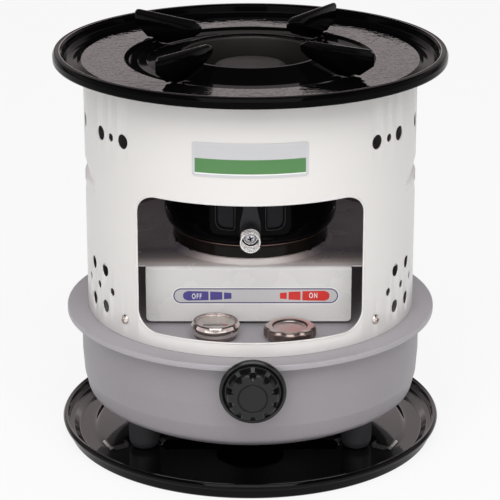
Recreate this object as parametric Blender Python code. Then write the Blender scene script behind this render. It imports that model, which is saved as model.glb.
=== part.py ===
"""Kerosene wick stove: a drip tray, a round fuel tank with its wick and wick lift, a burner
with a lift-off chimney, a drum with a front window, and a top plate with four pan supports.

Metres, +Z up. The origin is on the stove's axis at the underside of the drip tray, and the
front, with the window and the knob, faces -Y.
"""

import math

import bmesh
import bpy
from mathutils import Matrix, Vector

# Driving dimensions. Heights that end in _level are measured from the floor.

gap = 0.0003                    # left between pieces that touch
sheet = 0.0008                  # enamelled and painted pressings
overrun = 0.004                 # how far a cutter passes the face that it cuts
front = math.radians(-90)       # azimuth of the window and the knob

# Drip tray
tray_base_radius = 0.1600
tray_height = 0.0145
tray_rim_reach = 0.0045         # from the wall out to the rolled rim
tray_rim_depth = 0.0055
tray_floor_margin = 0.0100      # from the wall in to the flat floor
tray_ledge_height = 0.0055
tray_ledge_width = 0.0030
pad_inner_radius = 0.0640
pad_margin = 0.0285             # from the wall in to the raised pads
pad_slope = 0.0030
pad_rise = 0.0026
pad_clear_angle = math.radians(9.5)

# Feet
foot_count = 3
foot_margin = 0.0210            # from the tank's bottom edge in to a foot's middle
foot_radius = 0.0155
foot_corner = 0.0055

# Tank
tank_level = 0.0330
fuel_deck_margin = 0.0427       # from the gauge's middle out to the tank's side
tank_bottom_margin = 0.0197     # from the tank's side in to the flat bottom
tank_flange_level = 0.1164
tank_flange_reach = 0.0123      # from the tank's side out to the flange's edge
tank_flange_depth = 0.0046
tank_straight_level = 0.0760
deck_rise = 0.0041
deck_rise_margin = 0.0112       # from the tank's side in to the raised fuel deck
deck_rise_slope = 0.0025
tank_side_radius_shares = (0.50, 0.80, 0.95)
tank_side_height_shares = (0.07, 0.27, 0.66)

# Wick, its tubes and its lift
air_tube_radius = 0.0300
burner_level = 0.1840
wick_clearance = 0.0006
wick_thickness = 0.0028
wick_top_level = 0.1800
wick_foot_level = 0.0420
carrier_height = 0.0740
carrier_top_level = 0.1500
throat_clearance = 0.0007
throat_flange = 0.0100
wick_travel = 0.0120

# Rack and pinion
gear_module = 0.0010
pinion_teeth = 12
gear_addendum_share = 0.80
gear_dedendum_share = 1.15
gear_tooth_share = 0.40         # tooth thickness on the pitch line, of the pitch
pressure_angle = math.radians(20)
pinion_width = 0.0045
rack_thickness = 0.0030
rack_web = 0.0030
rack_margin = 0.0045

# Knob and shaft
shaft_offset = 0.0020
shaft_level = 0.0962
shaft_radius = 0.0030
knob_base_radius = 0.0272
knob_base_depth = 0.0060
knob_back_clearance = 0.0012
knob_grip_radius = 0.0213
knob_grip_depth = 0.0120
knob_lobes = 10
knob_flute_depth = 0.0030
knob_groove_radius = 0.0116
knob_groove_width = 0.0012
knob_groove_depth = 0.0007
knob_edge = 0.0012
knob_bore_depth = 0.0120
gland_radius = 0.0062
gland_nut = 0.0100
gland_nut_depth = 0.0040
gland_length = 0.0180

# Filler
filler_offset = 0.0326
cap_clearance = 0.0082          # from the deck's front panel to the filler cap
neck_radius = 0.0145
neck_height = 0.0035
neck_flange = 0.0045
cap_radius = 0.0218
cap_height = 0.0094
cap_lobes = 8
cap_scallop = 0.0016
cap_dish_radius = 0.0148
cap_dish_depth = 0.0018
gasket_thickness = 0.0012

# Fuel gauge
gauge_offset = -0.0286
gauge_clearance = 0.0087        # from the deck's front panel to the gauge
gauge_radius = 0.0203
gauge_base_radius = 0.0165
gauge_height = 0.0140
gauge_belly_height = 0.0078      # from the gauge's foot up to its widest place
gauge_rim_draw = 0.0016         # from the widest place in to the rim's outside
gauge_port_radius = 0.0135
gauge_lip = 0.0034
glass_dome = 0.0022
glass_thickness = 0.0010
dial_depth = 0.0082
dial_slot_length = 0.0228
dial_slot_width = 0.0034
cheek_half_width = 0.0035
cheek_spread = 0.0040
pivot_depth = 0.0135
pivot_radius = 0.0010
lever_thickness = 0.0012
lever_half_width = 0.0010
float_side_clearance = 0.0032   # from the level float to the tank's side
float_radius = 0.0090
float_length = 0.0180
float_rest_angle = math.radians(-158)
pointer_rest_angle = math.radians(72)
pointer_reach = 0.0150
flag_length = 0.0060

# Burner seat and deck
base_radius = 0.0648
base_skirt = 0.0094
deck_level = 0.1710
deck_drum_margin = 0.0015       # from the drum's outside in to the deck's edge
seat_radius = 0.0660
seat_rise = 0.0033
seat_slope = 0.0035
panel_margin = 0.0045           # from the seat's foot to the front panel
panel_half_width = 0.0848
panel_corner = 0.0035
panel_clearance = 0.0015
fold_radius = 0.0022

# Chimney
casing_radius = 0.0735
casing_top_level = 0.3040
casing_curve_height = 0.0170
casing_curve_width = 0.0089
casing_flange = 0.0050
flame_tube_radius = 0.0450
flame_tube_wall = 0.0006
flame_tube_top_level = 0.3180
inner_tube_top_level = 0.3238
hole_width_share = 0.55
hole_height_share = 0.45
spreader_level = 0.3259
spreader_radius = 0.0290
spreader_dish = 0.0040
cross_pin_radius = 0.0012
cross_pin_level = 0.2020
pane_angle = math.radians(16.4)
pane_half_width = 0.0066
pane_low_level = 0.2040
pane_high_level = 0.2264
pane_corner = 0.0048
pane_lap = 0.0020
mica = 0.0004

# Handle of the chimney
handle_level = 0.1970
bracket_half_width = 0.0087
bracket_top_half_width = 0.0050
bracket_thickness = 0.0012
bracket_low_level = 0.1862
bracket_neck_level = 0.2105
bracket_top_level = 0.2300
coil_radius = 0.0078
coil_wire = 0.0009
coil_pitch = 0.0036
coil_turns = 4.5
coil_spiral_turns = 1.2
coil_start_angle = math.radians(90)
coil_eye_radius = 0.0030
coil_points_per_turn = 10
washer_radius = 0.0052
washer_thickness = 0.0008
handle_screw_radius = 0.0018
handle_screw_head = 0.0045
handle_screw_dome = 0.0022

# Drum
drum_margin = 0.0057            # from the tank's side in to the drum
drum_top_level = 0.3309
window_half_width = 0.0922
window_low_level = 0.1284
window_high_level = 0.2460
window_top_corner = 0.0165
window_low_corner = 0.0170
vent_level = 0.2853
vent_large = 0.0061
vent_small = 0.0034
vent_step = math.radians(6.6)
vent_group_angle = math.radians(31.6)
vent_first_angle = math.radians(53.4)
vent_groups = 9
louvre_level = 0.1514
louvre_rise = 0.0159
louvre_large = 0.0055
louvre_small = 0.0034
louvre_pair_angle = math.radians(4.8)
louvre_row_angle = math.radians(9.5)
louvre_centre_angle = math.radians(64.3)
grip_top_level = 0.2510
grip_low_level = 0.2350
grip_ledge = 0.0052
grip_depth = 0.0042
grip_half_angle = math.radians(24)
grip_slot_half_width = 0.0260

# Fixing of the drum
fixing_angle = math.radians(47.5)
fixing_level = 0.1326
fixing_screw_radius = 0.0019
fixing_head_radius = 0.0043
fixing_head_dome = 0.0022
fixing_screw_length = 0.0050
fixing_hole_clearance = 0.0004
fixing_bracket_width = 0.0140
fixing_bracket_thickness = 0.0012
fixing_bracket_foot = 0.0130
fixing_bracket_rise = 0.0170

# Label plate on the drum
label_low_level = 0.2686
label_high_level = 0.2968
label_half_angle = math.radians(19.2)
label_thickness = 0.0005

# Top plate: levels of its upper side
plate_opening_radius = 0.0585
plate_opening_level = 0.3373
collar_foot_radius = 0.0834
collar_foot_level = 0.3304
trough_inner_radius = 0.0870
trough_outer_radius = 0.1025
trough_level = 0.3295
plate_inner_radius = 0.1060
plate_outer_radius = 0.1410
plate_level = 0.3320
gutter_inner_radius = 0.1440
gutter_outer_radius = 0.1525
gutter_level = 0.3300
plate_wall_radius = 0.1570
plate_crest_radius = 0.1592
plate_crest_level = 0.3403
plate_rim_radius = 0.1652
plate_rim_low_level = 0.3304
plate_wall_slope = 0.0030
plate_wall_foot = 0.0020
plate_rim_edge = 0.0014
sleeve_radius = 0.0575
sleeve_flange = 0.0070
sleeve_low_level = 0.3080

# Pan supports
support_count = 4
support_turn = math.radians(8)
support_sheet = 0.0016
support_foot_inner = 0.0890
support_foot_outer = 0.1010
support_top_level = 0.3555
support_inner_radius = 0.0515
support_outer_radius = 0.1245
support_nose_height = 0.0160
support_end_height = 0.0130
support_top_slope = 0.0018
support_corner = 0.0050

# Facets round each kind of turned piece
tray_steps = 36
wide_steps = 32
middle_steps = 24
small_steps = 20
foot_steps = 16
fine_steps = 12
lobe_steps = 4

# Derived places
tray_rim_radius = tray_base_radius + tray_rim_reach
tray_floor_radius = tray_base_radius - tray_floor_margin
pad_outer_radius = tray_base_radius - pad_margin

tank_top_level = tank_flange_level + deck_rise
panel_reach = seat_radius + seat_slope + panel_margin
filler_reach = panel_reach + cap_clearance + cap_radius
gauge_reach = panel_reach + gauge_clearance + gauge_radius
tank_radius = gauge_reach + fuel_deck_margin
drum_radius = tank_radius - drum_margin
deck_radius = drum_radius - deck_drum_margin
tank_bore = (tank_radius - sheet) * math.cos(math.pi / wide_steps)
tank_bottom_radius = tank_radius - tank_bottom_margin
tank_flange_radius = tank_radius + tank_flange_reach
deck_rise_radius = tank_radius - deck_rise_margin
foot_circle = tank_bottom_radius - foot_margin
knob_back_reach = tank_flange_radius + knob_back_clearance
wick_inner = air_tube_radius + wick_clearance
wick_outer = wick_inner + wick_thickness
carrier_inner = wick_outer + gap
carrier_outer = carrier_inner + sheet
throat_inner = carrier_outer + throat_clearance
throat_outer = throat_inner + sheet
pinion_radius = gear_module * pinion_teeth / 2
pinion_reach = carrier_outer + gap
rack_reach = carrier_outer
drum_inner = drum_radius - sheet
drum_bore = drum_inner * math.cos(math.pi / wide_steps)
casing_bore = (casing_radius - sheet) * math.cos(math.pi / wide_steps)
drum_level = tank_flange_level + gap
seat_level = deck_level + seat_rise
neck_level = tank_top_level + gap
cap_level = neck_level + sheet + gap
gauge_level = tank_top_level + gap
gauge_rim_level = gauge_level + gauge_height
coil_reach = casing_radius + bracket_thickness + 2 * gap + coil_wire
casing_level = seat_level + gap + base_skirt + gap
glass_edge_level = gauge_rim_level - sheet - gap - glass_thickness
dial_level = gauge_rim_level - dial_depth
pivot_level = tank_top_level - pivot_depth
float_end = gauge_reach + float_length / 2
tank_half_chord = math.sqrt(tank_bore ** 2 - float_end ** 2)
float_reach = tank_half_chord - abs(gauge_offset) - float_radius - float_side_clearance
foot_angles = [math.radians(90) + 2 * math.pi * k / foot_count for k in range(foot_count)]


def clear_scene():
    for old in list(bpy.data.objects):
        bpy.data.objects.remove(old, do_unlink=True)


def material(name, colour, roughness, metallic=0.0):
    made = bpy.data.materials.new(name)
    made.use_nodes = True
    shader = made.node_tree.nodes["Principled BSDF"]
    shader.inputs["Base Color"].default_value = (*colour, 1.0)
    shader.inputs["Roughness"].default_value = roughness
    shader.inputs["Metallic"].default_value = metallic
    return made


clear_scene()
black_enamel = material("black_enamel", (0.006, 0.006, 0.007), 0.12)
white_paint = material("white_paint", (0.80, 0.78, 0.76), 0.35)
grey_paint = material("grey_paint", (0.33, 0.32, 0.33), 0.45)
pale_steel = material("pale_steel", (0.62, 0.60, 0.57), 0.35, 0.9)
pale_paint = material("pale_paint", (0.70, 0.67, 0.64), 0.35)
dark_steel = material("dark_steel", (0.10, 0.10, 0.11), 0.50, 0.6)
chrome = material("chrome", (0.80, 0.79, 0.77), 0.08, 1.0)
black_plastic = material("black_plastic", (0.010, 0.010, 0.011), 0.40)
brass = material("brass", (0.62, 0.45, 0.20), 0.35, 1.0)
glass = material("glass", (0.85, 0.88, 0.88), 0.03)
mica_sheet = material("mica", (0.10, 0.09, 0.08), 0.20)
dial_white = material("dial_white", (0.80, 0.80, 0.78), 0.50)
pointer_red = material("pointer_red", (0.60, 0.03, 0.03), 0.45)
cork = material("cork", (0.45, 0.30, 0.17), 0.80)
rubber = material("rubber", (0.02, 0.02, 0.02), 0.70)
wick_cloth = material("wick_cloth", (0.75, 0.72, 0.66), 0.90)
label_metal = material("label_metal", (0.60, 0.60, 0.58), 0.30, 0.8)


def axis_empty(name, place):
    """An empty on a joint's axis, which carries the pieces of one moving body."""
    empty = bpy.data.objects.new(name, None)
    empty.location = place
    bpy.context.scene.collection.objects.link(empty)
    return empty


def add_object(name, mesh, finish, carrier=None):
    made = bpy.data.objects.new(name, mesh)
    mesh.materials.clear()
    mesh.materials.append(finish)
    bpy.context.scene.collection.objects.link(made)
    if carrier is not None:
        made.parent = carrier
        made.matrix_parent_inverse = Matrix.Translation(-Vector(carrier.location))
    return made


def to_mesh(bm, name, crease=35):
    bmesh.ops.remove_doubles(bm, verts=bm.verts, dist=gap / 100)
    bmesh.ops.recalc_face_normals(bm, faces=bm.faces)
    mesh = bpy.data.meshes.new(name)
    bm.to_mesh(mesh)
    bm.free()
    mesh.shade_smooth()
    mesh.set_sharp_from_angle(angle=math.radians(crease))
    return mesh


def turned(section, steps, closed=True):
    """Spins a section of (radius, height) points round Z."""
    bm = bmesh.new()
    ring = [bm.verts.new((radius, 0, height)) for radius, height in section]
    pairs = list(zip(ring, ring[1:]))
    if closed:
        pairs.append((ring[-1], ring[0]))
    edges = [bm.edges.new(pair) for pair in pairs]
    bmesh.ops.spin(bm, geom=ring + edges, cent=(0, 0, 0), axis=(0, 0, 1),
                   angle=2 * math.pi, steps=steps, use_merge=True)
    bmesh.ops.remove_doubles(bm, verts=bm.verts, dist=gap / 100)
    bmesh.ops.recalc_face_normals(bm, faces=bm.faces)
    return bm


def sheet_section(path, thickness):
    """Closed section of a sheet: the path, and the path moved to its right by the thickness."""
    moved = []
    for k, point in enumerate(path):
        here = Vector(point)
        before = (here - Vector(path[k - 1])).normalized() if k > 0 else None
        after = (Vector(path[k + 1]) - here).normalized() if k + 1 < len(path) else None
        before = before or after
        after = after or before
        mitre = (before + after).normalized()
        across = Vector((mitre.y, -mitre.x))
        reach = thickness / max(mitre.dot(before), 0.5)
        moved.append(tuple(here + across * reach))
    return list(path) + moved[::-1]


def prism(outline, low, high):
    """A flat outline of (x, y) points, extruded from low to high along Z."""
    bm = bmesh.new()
    face = bm.faces.new([bm.verts.new((x, y, low)) for x, y in outline])
    made = bmesh.ops.extrude_face_region(bm, geom=[face])
    moved = [item for item in made["geom"] if isinstance(item, bmesh.types.BMVert)]
    bmesh.ops.translate(bm, verts=moved, vec=(0, 0, high - low))
    bmesh.ops.recalc_face_normals(bm, faces=bm.faces)
    return bm


def forward(bm):
    """Stands up what was drawn in X and Y, so that what pointed along +Z points along -Y."""
    bmesh.ops.rotate(bm, verts=bm.verts, matrix=Matrix.Rotation(math.radians(90), 3, "X"))
    return bm


def outward(bm):
    """Lays what pointed along +Z along +X."""
    bmesh.ops.rotate(bm, verts=bm.verts, matrix=Matrix.Rotation(math.radians(90), 3, "Y"))
    return bm


def turn_to(bm, azimuth):
    bmesh.ops.rotate(bm, verts=bm.verts, matrix=Matrix.Rotation(azimuth, 3, "Z"))
    return bm


def block(low, high):
    bm = bmesh.new()
    centre = [(a + b) / 2 for a, b in zip(low, high)]
    size = [b - a for a, b in zip(low, high)]
    bmesh.ops.create_cube(bm, size=1)
    bmesh.ops.scale(bm, verts=bm.verts, vec=size)
    bmesh.ops.translate(bm, verts=bm.verts, vec=centre)
    return bm


def rod(radius, low, high, steps):
    """A round bar along Z."""
    return turned([(0, low), (radius, low), (radius, high), (0, high)], steps, closed=False)


def moved(bm, vector):
    bmesh.ops.translate(bm, verts=bm.verts, vec=vector)
    return bm


def merged(parts):
    """Several closed shapes in one mesh, for a cutter of many holes."""
    whole = bmesh.new()
    for part in parts:
        scratch = bpy.data.meshes.new("scratch")
        part.to_mesh(scratch)
        part.free()
        whole.from_mesh(scratch)
        bpy.data.meshes.remove(scratch)
    return whole


def tool(name, bm):
    """A cutter or an added shape for a Boolean, kept out of the build."""
    mesh = bpy.data.meshes.new(name)
    bmesh.ops.recalc_face_normals(bm, faces=bm.faces)
    bm.to_mesh(mesh)
    bm.free()
    made = bpy.data.objects.new(name, mesh)
    bpy.context.scene.collection.objects.link(made)
    made.hide_render = True
    made.display_type = "WIRE"
    return made


def boolean(target, bm, operation="DIFFERENCE"):
    step = target.modifiers.new(operation.lower(), "BOOLEAN")
    step.operation = operation
    step.solver = "EXACT"
    step.object = tool(f"{target.name}.{operation.lower()}", bm)
    return step


def rounded_outline(half_width, low, high, low_corner, high_corner, points=5):
    """An outline with round corners, symmetric about its own Y axis."""
    corners = [((half_width - low_corner, low + low_corner), low_corner, -90),
               ((half_width - high_corner, high - high_corner), high_corner, 0),
               ((high_corner - half_width, high - high_corner), high_corner, 90),
               ((low_corner - half_width, low + low_corner), low_corner, 180)]
    outline = []
    for (x, y), radius, start in corners:
        for k in range(points):
            angle = math.radians(start + 90 * k / (points - 1))
            outline.append((x + radius * math.cos(angle), y + radius * math.sin(angle)))
    return outline


def arc(centre, radius, start, end, points):
    """Points on an arc, with its angles in degrees."""
    angles = [math.radians(start + (end - start) * k / (points - 1)) for k in range(points)]
    return [(centre[0] + radius * math.cos(a), centre[1] + radius * math.sin(a)) for a in angles]


def pan_head(head_radius, dome, shank_radius, shank_length, steps):
    """A dome headed screw along +Z, with the underside of its head at zero."""
    crown = [(head_radius * math.cos(math.radians(a)), dome * math.sin(math.radians(a)))
             for a in (15, 40, 65)]
    section = [(0, -shank_length), (shank_radius, -shank_length), (shank_radius, 0),
               (head_radius, 0), *crown, (0, dome)]
    return turned(section, steps, closed=False)


def radial_drill(radius, azimuth, level, reach, sides):
    """A round cutter that points out from the stove's axis."""
    bm = outward(rod(radius, reach - overrun, reach + overrun, sides))
    return moved(turn_to(bm, azimuth), (0, 0, level))


def from_foot(place):
    """Signed angle from the nearest foot."""
    azimuth = math.atan2(place.y, place.x)
    return min((math.remainder(azimuth - angle, 2 * math.pi) for angle in foot_angles), key=abs)


def make_drip_tray():
    rim_low = tray_height - tray_rim_depth
    bead = (tray_rim_radius - tray_base_radius) / 2
    rings = [pad_inner_radius - pad_slope, pad_inner_radius, pad_outer_radius,
             pad_outer_radius + pad_slope]
    under = [(0, 0), *[(radius, 0) for radius in rings], (tray_base_radius, 0)]
    rim = [(tray_base_radius + sheet, rim_low), (tray_rim_radius - sheet, rim_low + sheet),
           (tray_rim_radius, tray_height - bead), (tray_rim_radius - sheet, tray_height - sheet),
           (tray_rim_radius - bead, tray_height), (tray_base_radius, tray_height - sheet)]
    inside = [(tray_base_radius - sheet, tray_ledge_height),
              (tray_base_radius - sheet - tray_ledge_width, tray_ledge_height - sheet),
              (tray_floor_radius, sheet), *[(radius, sheet) for radius in rings[::-1]], (0, sheet)]
    bm = turned(under + rim + inside, tray_steps, closed=False)
    step = 2 * math.pi / tray_steps
    for vert in bm.verts:
        radius = vert.co.xy.length
        if not gap < radius < rings[-1] + gap:
            continue
        off = from_foot(vert.co)
        if step / 2 < abs(off) < 5 * step / 2:
            beyond = abs(off) > 3 * step / 2
            edge = pad_clear_angle + (pad_slope / pad_outer_radius if beyond else 0)
            vert.co = Matrix.Rotation(math.copysign(edge, off) - off, 3, "Z") @ vert.co
            off = edge
        if rings[0] + gap < radius < rings[-1] - gap and abs(off) > pad_clear_angle + step / 20:
            vert.co.z += pad_rise
    return add_object("drip_tray", to_mesh(bm, "drip_tray"), black_enamel)


def make_feet(carrier):
    low = sheet + gap
    high = tank_level - gap
    lip = foot_radius - foot_corner
    outer = [(0, low), (lip, low), (foot_radius, low + foot_corner), (foot_radius, high)]
    inner = [(foot_radius - sheet, high), (foot_radius - sheet, low + foot_corner),
             (lip - sheet / 2, low + sheet), (0, low + sheet)]
    for number, angle in enumerate(foot_angles, 1):
        bm = moved(turned(outer + inner, foot_steps, closed=False), (foot_circle, 0, 0))
        add_object(f"foot_{number}", to_mesh(turn_to(bm, angle), "foot"), dark_steel, carrier)


def make_tank_shell(carrier):
    flange_level = tank_flange_level - 2 * sheet - gap
    flange_radius = tank_flange_radius - sheet - 2 * gap
    side = [(tank_bottom_radius + share * (tank_radius - tank_bottom_radius),
             tank_level + height * (tank_straight_level - tank_level))
            for share, height in zip(tank_side_radius_shares, tank_side_height_shares)]
    path = [(flange_radius, flange_level), (tank_radius, flange_level),
            (tank_radius, tank_straight_level), *side[::-1],
            (tank_bottom_radius, tank_level), (air_tube_radius + gap, tank_level)]
    bm = turned(sheet_section(path, sheet), wide_steps)
    shell = add_object("tank_shell", to_mesh(bm, "tank_shell"), grey_paint, carrier)
    drill = forward(rod(gland_radius + gap, tank_radius - 2 * overrun,
                            tank_radius + overrun, fine_steps))
    boolean(shell, moved(drill, (shaft_offset, 0, shaft_level)))


def make_tank_top(carrier):
    skirt_low = tank_flange_level - tank_flange_depth
    path = [(throat_outer + gap, tank_top_level), (deck_rise_radius, tank_top_level),
            (deck_rise_radius + deck_rise_slope, tank_flange_level),
            (tank_flange_radius - sheet, tank_flange_level),
            (tank_flange_radius, tank_flange_level - sheet),
            (tank_flange_radius, skirt_low)]
    bm = turned(sheet_section(path, sheet), wide_steps)
    top = add_object("tank_top", to_mesh(bm, "tank_top"), grey_paint, carrier)
    low = tank_top_level - overrun
    high = tank_top_level + overrun
    filler = moved(rod(neck_radius - sheet, low, high, small_steps),
                   (filler_offset, -filler_reach, 0))
    port = moved(rod(gauge_port_radius, low, high, small_steps),
                 (gauge_offset, -gauge_reach, 0))
    boolean(top, merged([filler, port]))


def make_air_tube(carrier):
    low = tank_level + sheet + gap
    bore = air_tube_radius - sheet
    section = [(bore, tank_level), (air_tube_radius, tank_level), (air_tube_radius, low),
               (air_tube_radius + throat_flange, low), (air_tube_radius + throat_flange, low + sheet),
               (air_tube_radius, low + sheet), (air_tube_radius, burner_level),
               (bore, burner_level)]
    bm = turned(section, middle_steps)
    add_object("air_tube", to_mesh(bm, "air_tube"), dark_steel, carrier)


def make_throat_tube(carrier):
    low = tank_top_level + gap
    collar = seat_level - sheet - gap
    reach = throat_outer + throat_flange
    section = [(throat_inner, low), (reach, low), (reach, low + sheet), (throat_outer, low + sheet),
               (throat_outer, collar - sheet), (reach, collar - sheet), (reach, collar),
               (throat_outer, collar), (throat_outer, burner_level), (throat_inner, burner_level)]
    bm = turned(section, middle_steps)
    add_object("throat_tube", to_mesh(bm, "throat_tube"), dark_steel, carrier)


def make_burner_base(carrier):
    low = seat_level + gap
    high = low + base_skirt
    bore = throat_outer + gap
    section = [(bore, low), (bore, high), (base_radius - sheet, high),
               (base_radius, high - sheet), (base_radius, low), (base_radius - sheet, low),
               (base_radius - sheet, high - 2 * sheet), (bore + sheet, high - 2 * sheet),
               (bore + sheet, low)]
    bm = turned(section, middle_steps)
    add_object("burner_base", to_mesh(bm, "burner_base"), black_enamel, carrier)


def make_deck(carrier):
    bore = throat_outer + gap
    path = [(bore, seat_level), (seat_radius, seat_level),
            (seat_radius + seat_slope, deck_level), (deck_radius, deck_level)]
    bm = turned(sheet_section(path, sheet), wide_steps)
    deck = add_object("deck_plate", to_mesh(bm, "deck_plate"), pale_paint, carrier)
    far = 2 * deck_radius
    boolean(deck, block((-far, -far, deck_level - overrun - sheet),
                        (far, fold_radius - panel_reach, deck_level + overrun)))
    low = tank_top_level + panel_clearance
    bend = (fold_radius - panel_reach, deck_level - fold_radius)
    outer = [(-panel_reach + 3 * fold_radius, deck_level), *arc(bend, fold_radius, 90, 180, 5),
             (-panel_reach, low)]
    panel = prism(sheet_section(outer, -sheet), -panel_half_width, panel_half_width)
    bmesh.ops.transform(panel, verts=panel.verts,
                        matrix=Matrix(((0, 0, 1, 0), (1, 0, 0, 0), (0, 1, 0, 0), (0, 0, 0, 1))))
    corners = [edge for edge in panel.edges
               if all(v.co.z < low + gap for v in edge.verts)
               and abs(edge.verts[0].co.x - edge.verts[1].co.x) < gap
               and abs(edge.verts[0].co.y - edge.verts[1].co.y) > gap]
    bmesh.ops.bevel(panel, geom=corners, offset=panel_corner, segments=3, profile=0.5,
                    affect="EDGES")
    boolean(deck, panel, "UNION")


def make_drum(carrier):
    levels = [drum_level, grip_low_level - grip_ledge, grip_low_level, grip_top_level,
              drum_top_level]
    section = [(drum_radius, level) for level in levels]
    section += [(drum_inner, level) for level in levels[::-1]]
    bm = turned(section, wide_steps)
    for vert in bm.verts:
        if abs(vert.co.z - grip_low_level) > gap:
            continue
        azimuth = math.atan2(vert.co.y, vert.co.x)
        from_side = min(abs(azimuth), math.pi - abs(azimuth))
        if from_side < grip_half_angle:
            depth = grip_depth * math.cos(math.pi / 2 * from_side / grip_half_angle) ** 0.5
            vert.co.xy *= 1 - depth / vert.co.xy.length
    drum = add_object("drum", to_mesh(bm, "drum"), white_paint, carrier)
    boolean(drum, window_cutter())
    boolean(drum, merged(vent_cutters() + louvre_cutters() + fixing_cutters() + grip_cutters()))


def window_cutter():
    outline = rounded_outline(window_half_width, window_low_level, window_high_level,
                              window_low_corner, window_top_corner)
    return forward(prism(outline, drum_radius / 4, drum_radius + overrun))


def vent_cutters():
    cutters = []
    for group in range(vent_groups):
        centre = front + vent_first_angle + group * vent_group_angle
        for place, radius, sides in ((-1, vent_large, 8), (0, vent_small, 6), (1, vent_large, 8)):
            cutters.append(radial_drill(radius, centre + place * vent_step, vent_level,
                                        drum_radius, sides))
    return cutters


def louvre_cutters():
    cutters = []
    for centre in (front + louvre_centre_angle, front - louvre_centre_angle,
                   -front + louvre_centre_angle, -front - louvre_centre_angle):
        for row in (-1, 1):
            for side in (-1, 1):
                cutters.append(radial_drill(louvre_large, centre + side * louvre_pair_angle,
                                            louvre_level + row * louvre_rise, drum_radius, 8))
        for side in (-1, 0, 1):
            cutters.append(radial_drill(louvre_small, centre + side * louvre_row_angle,
                                        louvre_level, drum_radius, 6))
    return cutters


def fixing_angles():
    return [front - fixing_angle, front + fixing_angle, -front - fixing_angle,
            -front + fixing_angle]


def fixing_cutters():
    return [radial_drill(fixing_screw_radius + fixing_hole_clearance, angle, fixing_level,
                         drum_radius, 10) for angle in fixing_angles()]


def grip_cutters():
    low = grip_low_level - grip_ledge + gap
    high = grip_low_level - gap
    reach = grip_depth + overrun
    return [block((side * drum_radius - reach, -grip_slot_half_width, low),
                  (side * drum_radius + reach, grip_slot_half_width, high)) for side in (-1, 1)]


def make_fixings(carrier):
    thick = fixing_bracket_thickness
    half_width = fixing_bracket_width / 2
    back = math.sqrt((drum_bore - gap) ** 2 - half_width ** 2)
    toe = back - fixing_bracket_foot
    low = tank_top_level + gap
    high = low + fixing_bracket_rise
    outline = [(back, low), (back, high), (back - thick, high), (back - thick, low + thick),
               (toe, low + thick), (toe, low)]
    for number, angle in enumerate(fixing_angles(), 1):
        bm = turn_to(forward(prism(outline, -half_width, half_width)), angle)
        bracket = add_object(f"drum_bracket_{number}", to_mesh(bm, "bracket"), pale_steel, carrier)
        boolean(bracket, radial_drill(fixing_screw_radius + fixing_hole_clearance, angle,
                                      fixing_level, back, fine_steps))
        bm = outward(pan_head(fixing_head_radius, fixing_head_dome, fixing_screw_radius,
                              fixing_screw_length, fine_steps))
        bm = turn_to(moved(bm, (drum_radius + gap, 0, fixing_level)), angle)
        add_object(f"drum_screw_{number}", to_mesh(bm, "screw"), chrome, carrier)


def sector(inner, outer, low, high, centre, half_angle, steps):
    """A curved plate about the stove's axis."""
    angles = [centre - half_angle + 2 * half_angle * k / steps for k in range(steps + 1)]
    outline = [(outer * math.cos(a), outer * math.sin(a)) for a in angles]
    outline += [(inner * math.cos(a), inner * math.sin(a)) for a in reversed(angles)]
    return prism(outline, low, high)


def make_label(carrier):
    inner = drum_radius + gap
    bm = sector(inner, inner + label_thickness, label_low_level, label_high_level, front,
                label_half_angle, 8)
    add_object("label_plate", to_mesh(bm, "label_plate"), label_metal, carrier)


def make_filler_neck(carrier):
    section = [(neck_radius - sheet, neck_level), (neck_radius + neck_flange, neck_level),
               (neck_radius + neck_flange, neck_level + sheet), (neck_radius, neck_level + sheet),
               (neck_radius, neck_level + neck_height), (neck_radius - sheet, neck_level + neck_height)]
    bm = moved(turned(section, small_steps), (filler_offset, -filler_reach, 0))
    add_object("filler_neck", to_mesh(bm, "filler_neck"), chrome, carrier)


def make_cap(lift, turn):
    seal_low = neck_level + neck_height + gap
    seal_high = seal_low + gasket_thickness
    inner = neck_radius - 2 * sheet
    outer = neck_radius + sheet
    bm = turned([(inner, seal_low), (outer, seal_low), (outer, seal_high), (inner, seal_high)],
                small_steps)
    moved(bm, (filler_offset, -filler_reach, 0))
    add_object("cap_gasket", to_mesh(bm, "cap_gasket"), rubber, lift)

    high = cap_level + cap_height
    dish = high - cap_dish_depth
    section = [(0, seal_high + gap), (outer + sheet, seal_high + gap), (outer + sheet, cap_level),
               (cap_radius - sheet, cap_level), (cap_radius, cap_level + sheet),
               (cap_radius, high - 2 * sheet), (cap_radius - sheet, high - sheet / 2),
               (cap_radius - 3 * sheet, high), (cap_dish_radius + sheet, high),
               (cap_dish_radius - sheet, dish), (0, dish)]
    bm = turned(section, cap_lobes * lobe_steps, closed=False)
    for vert in bm.verts:
        radius = vert.co.xy.length
        if radius > cap_dish_radius + 2 * sheet:
            wave = 0.5 - 0.5 * math.cos(cap_lobes * math.atan2(vert.co.y, vert.co.x))
            vert.co.xy *= 1 - cap_scallop * wave ** 2 / radius
    moved(bm, (filler_offset, -filler_reach, 0))
    add_object("filler_cap", to_mesh(bm, "filler_cap"), chrome, turn)


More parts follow.
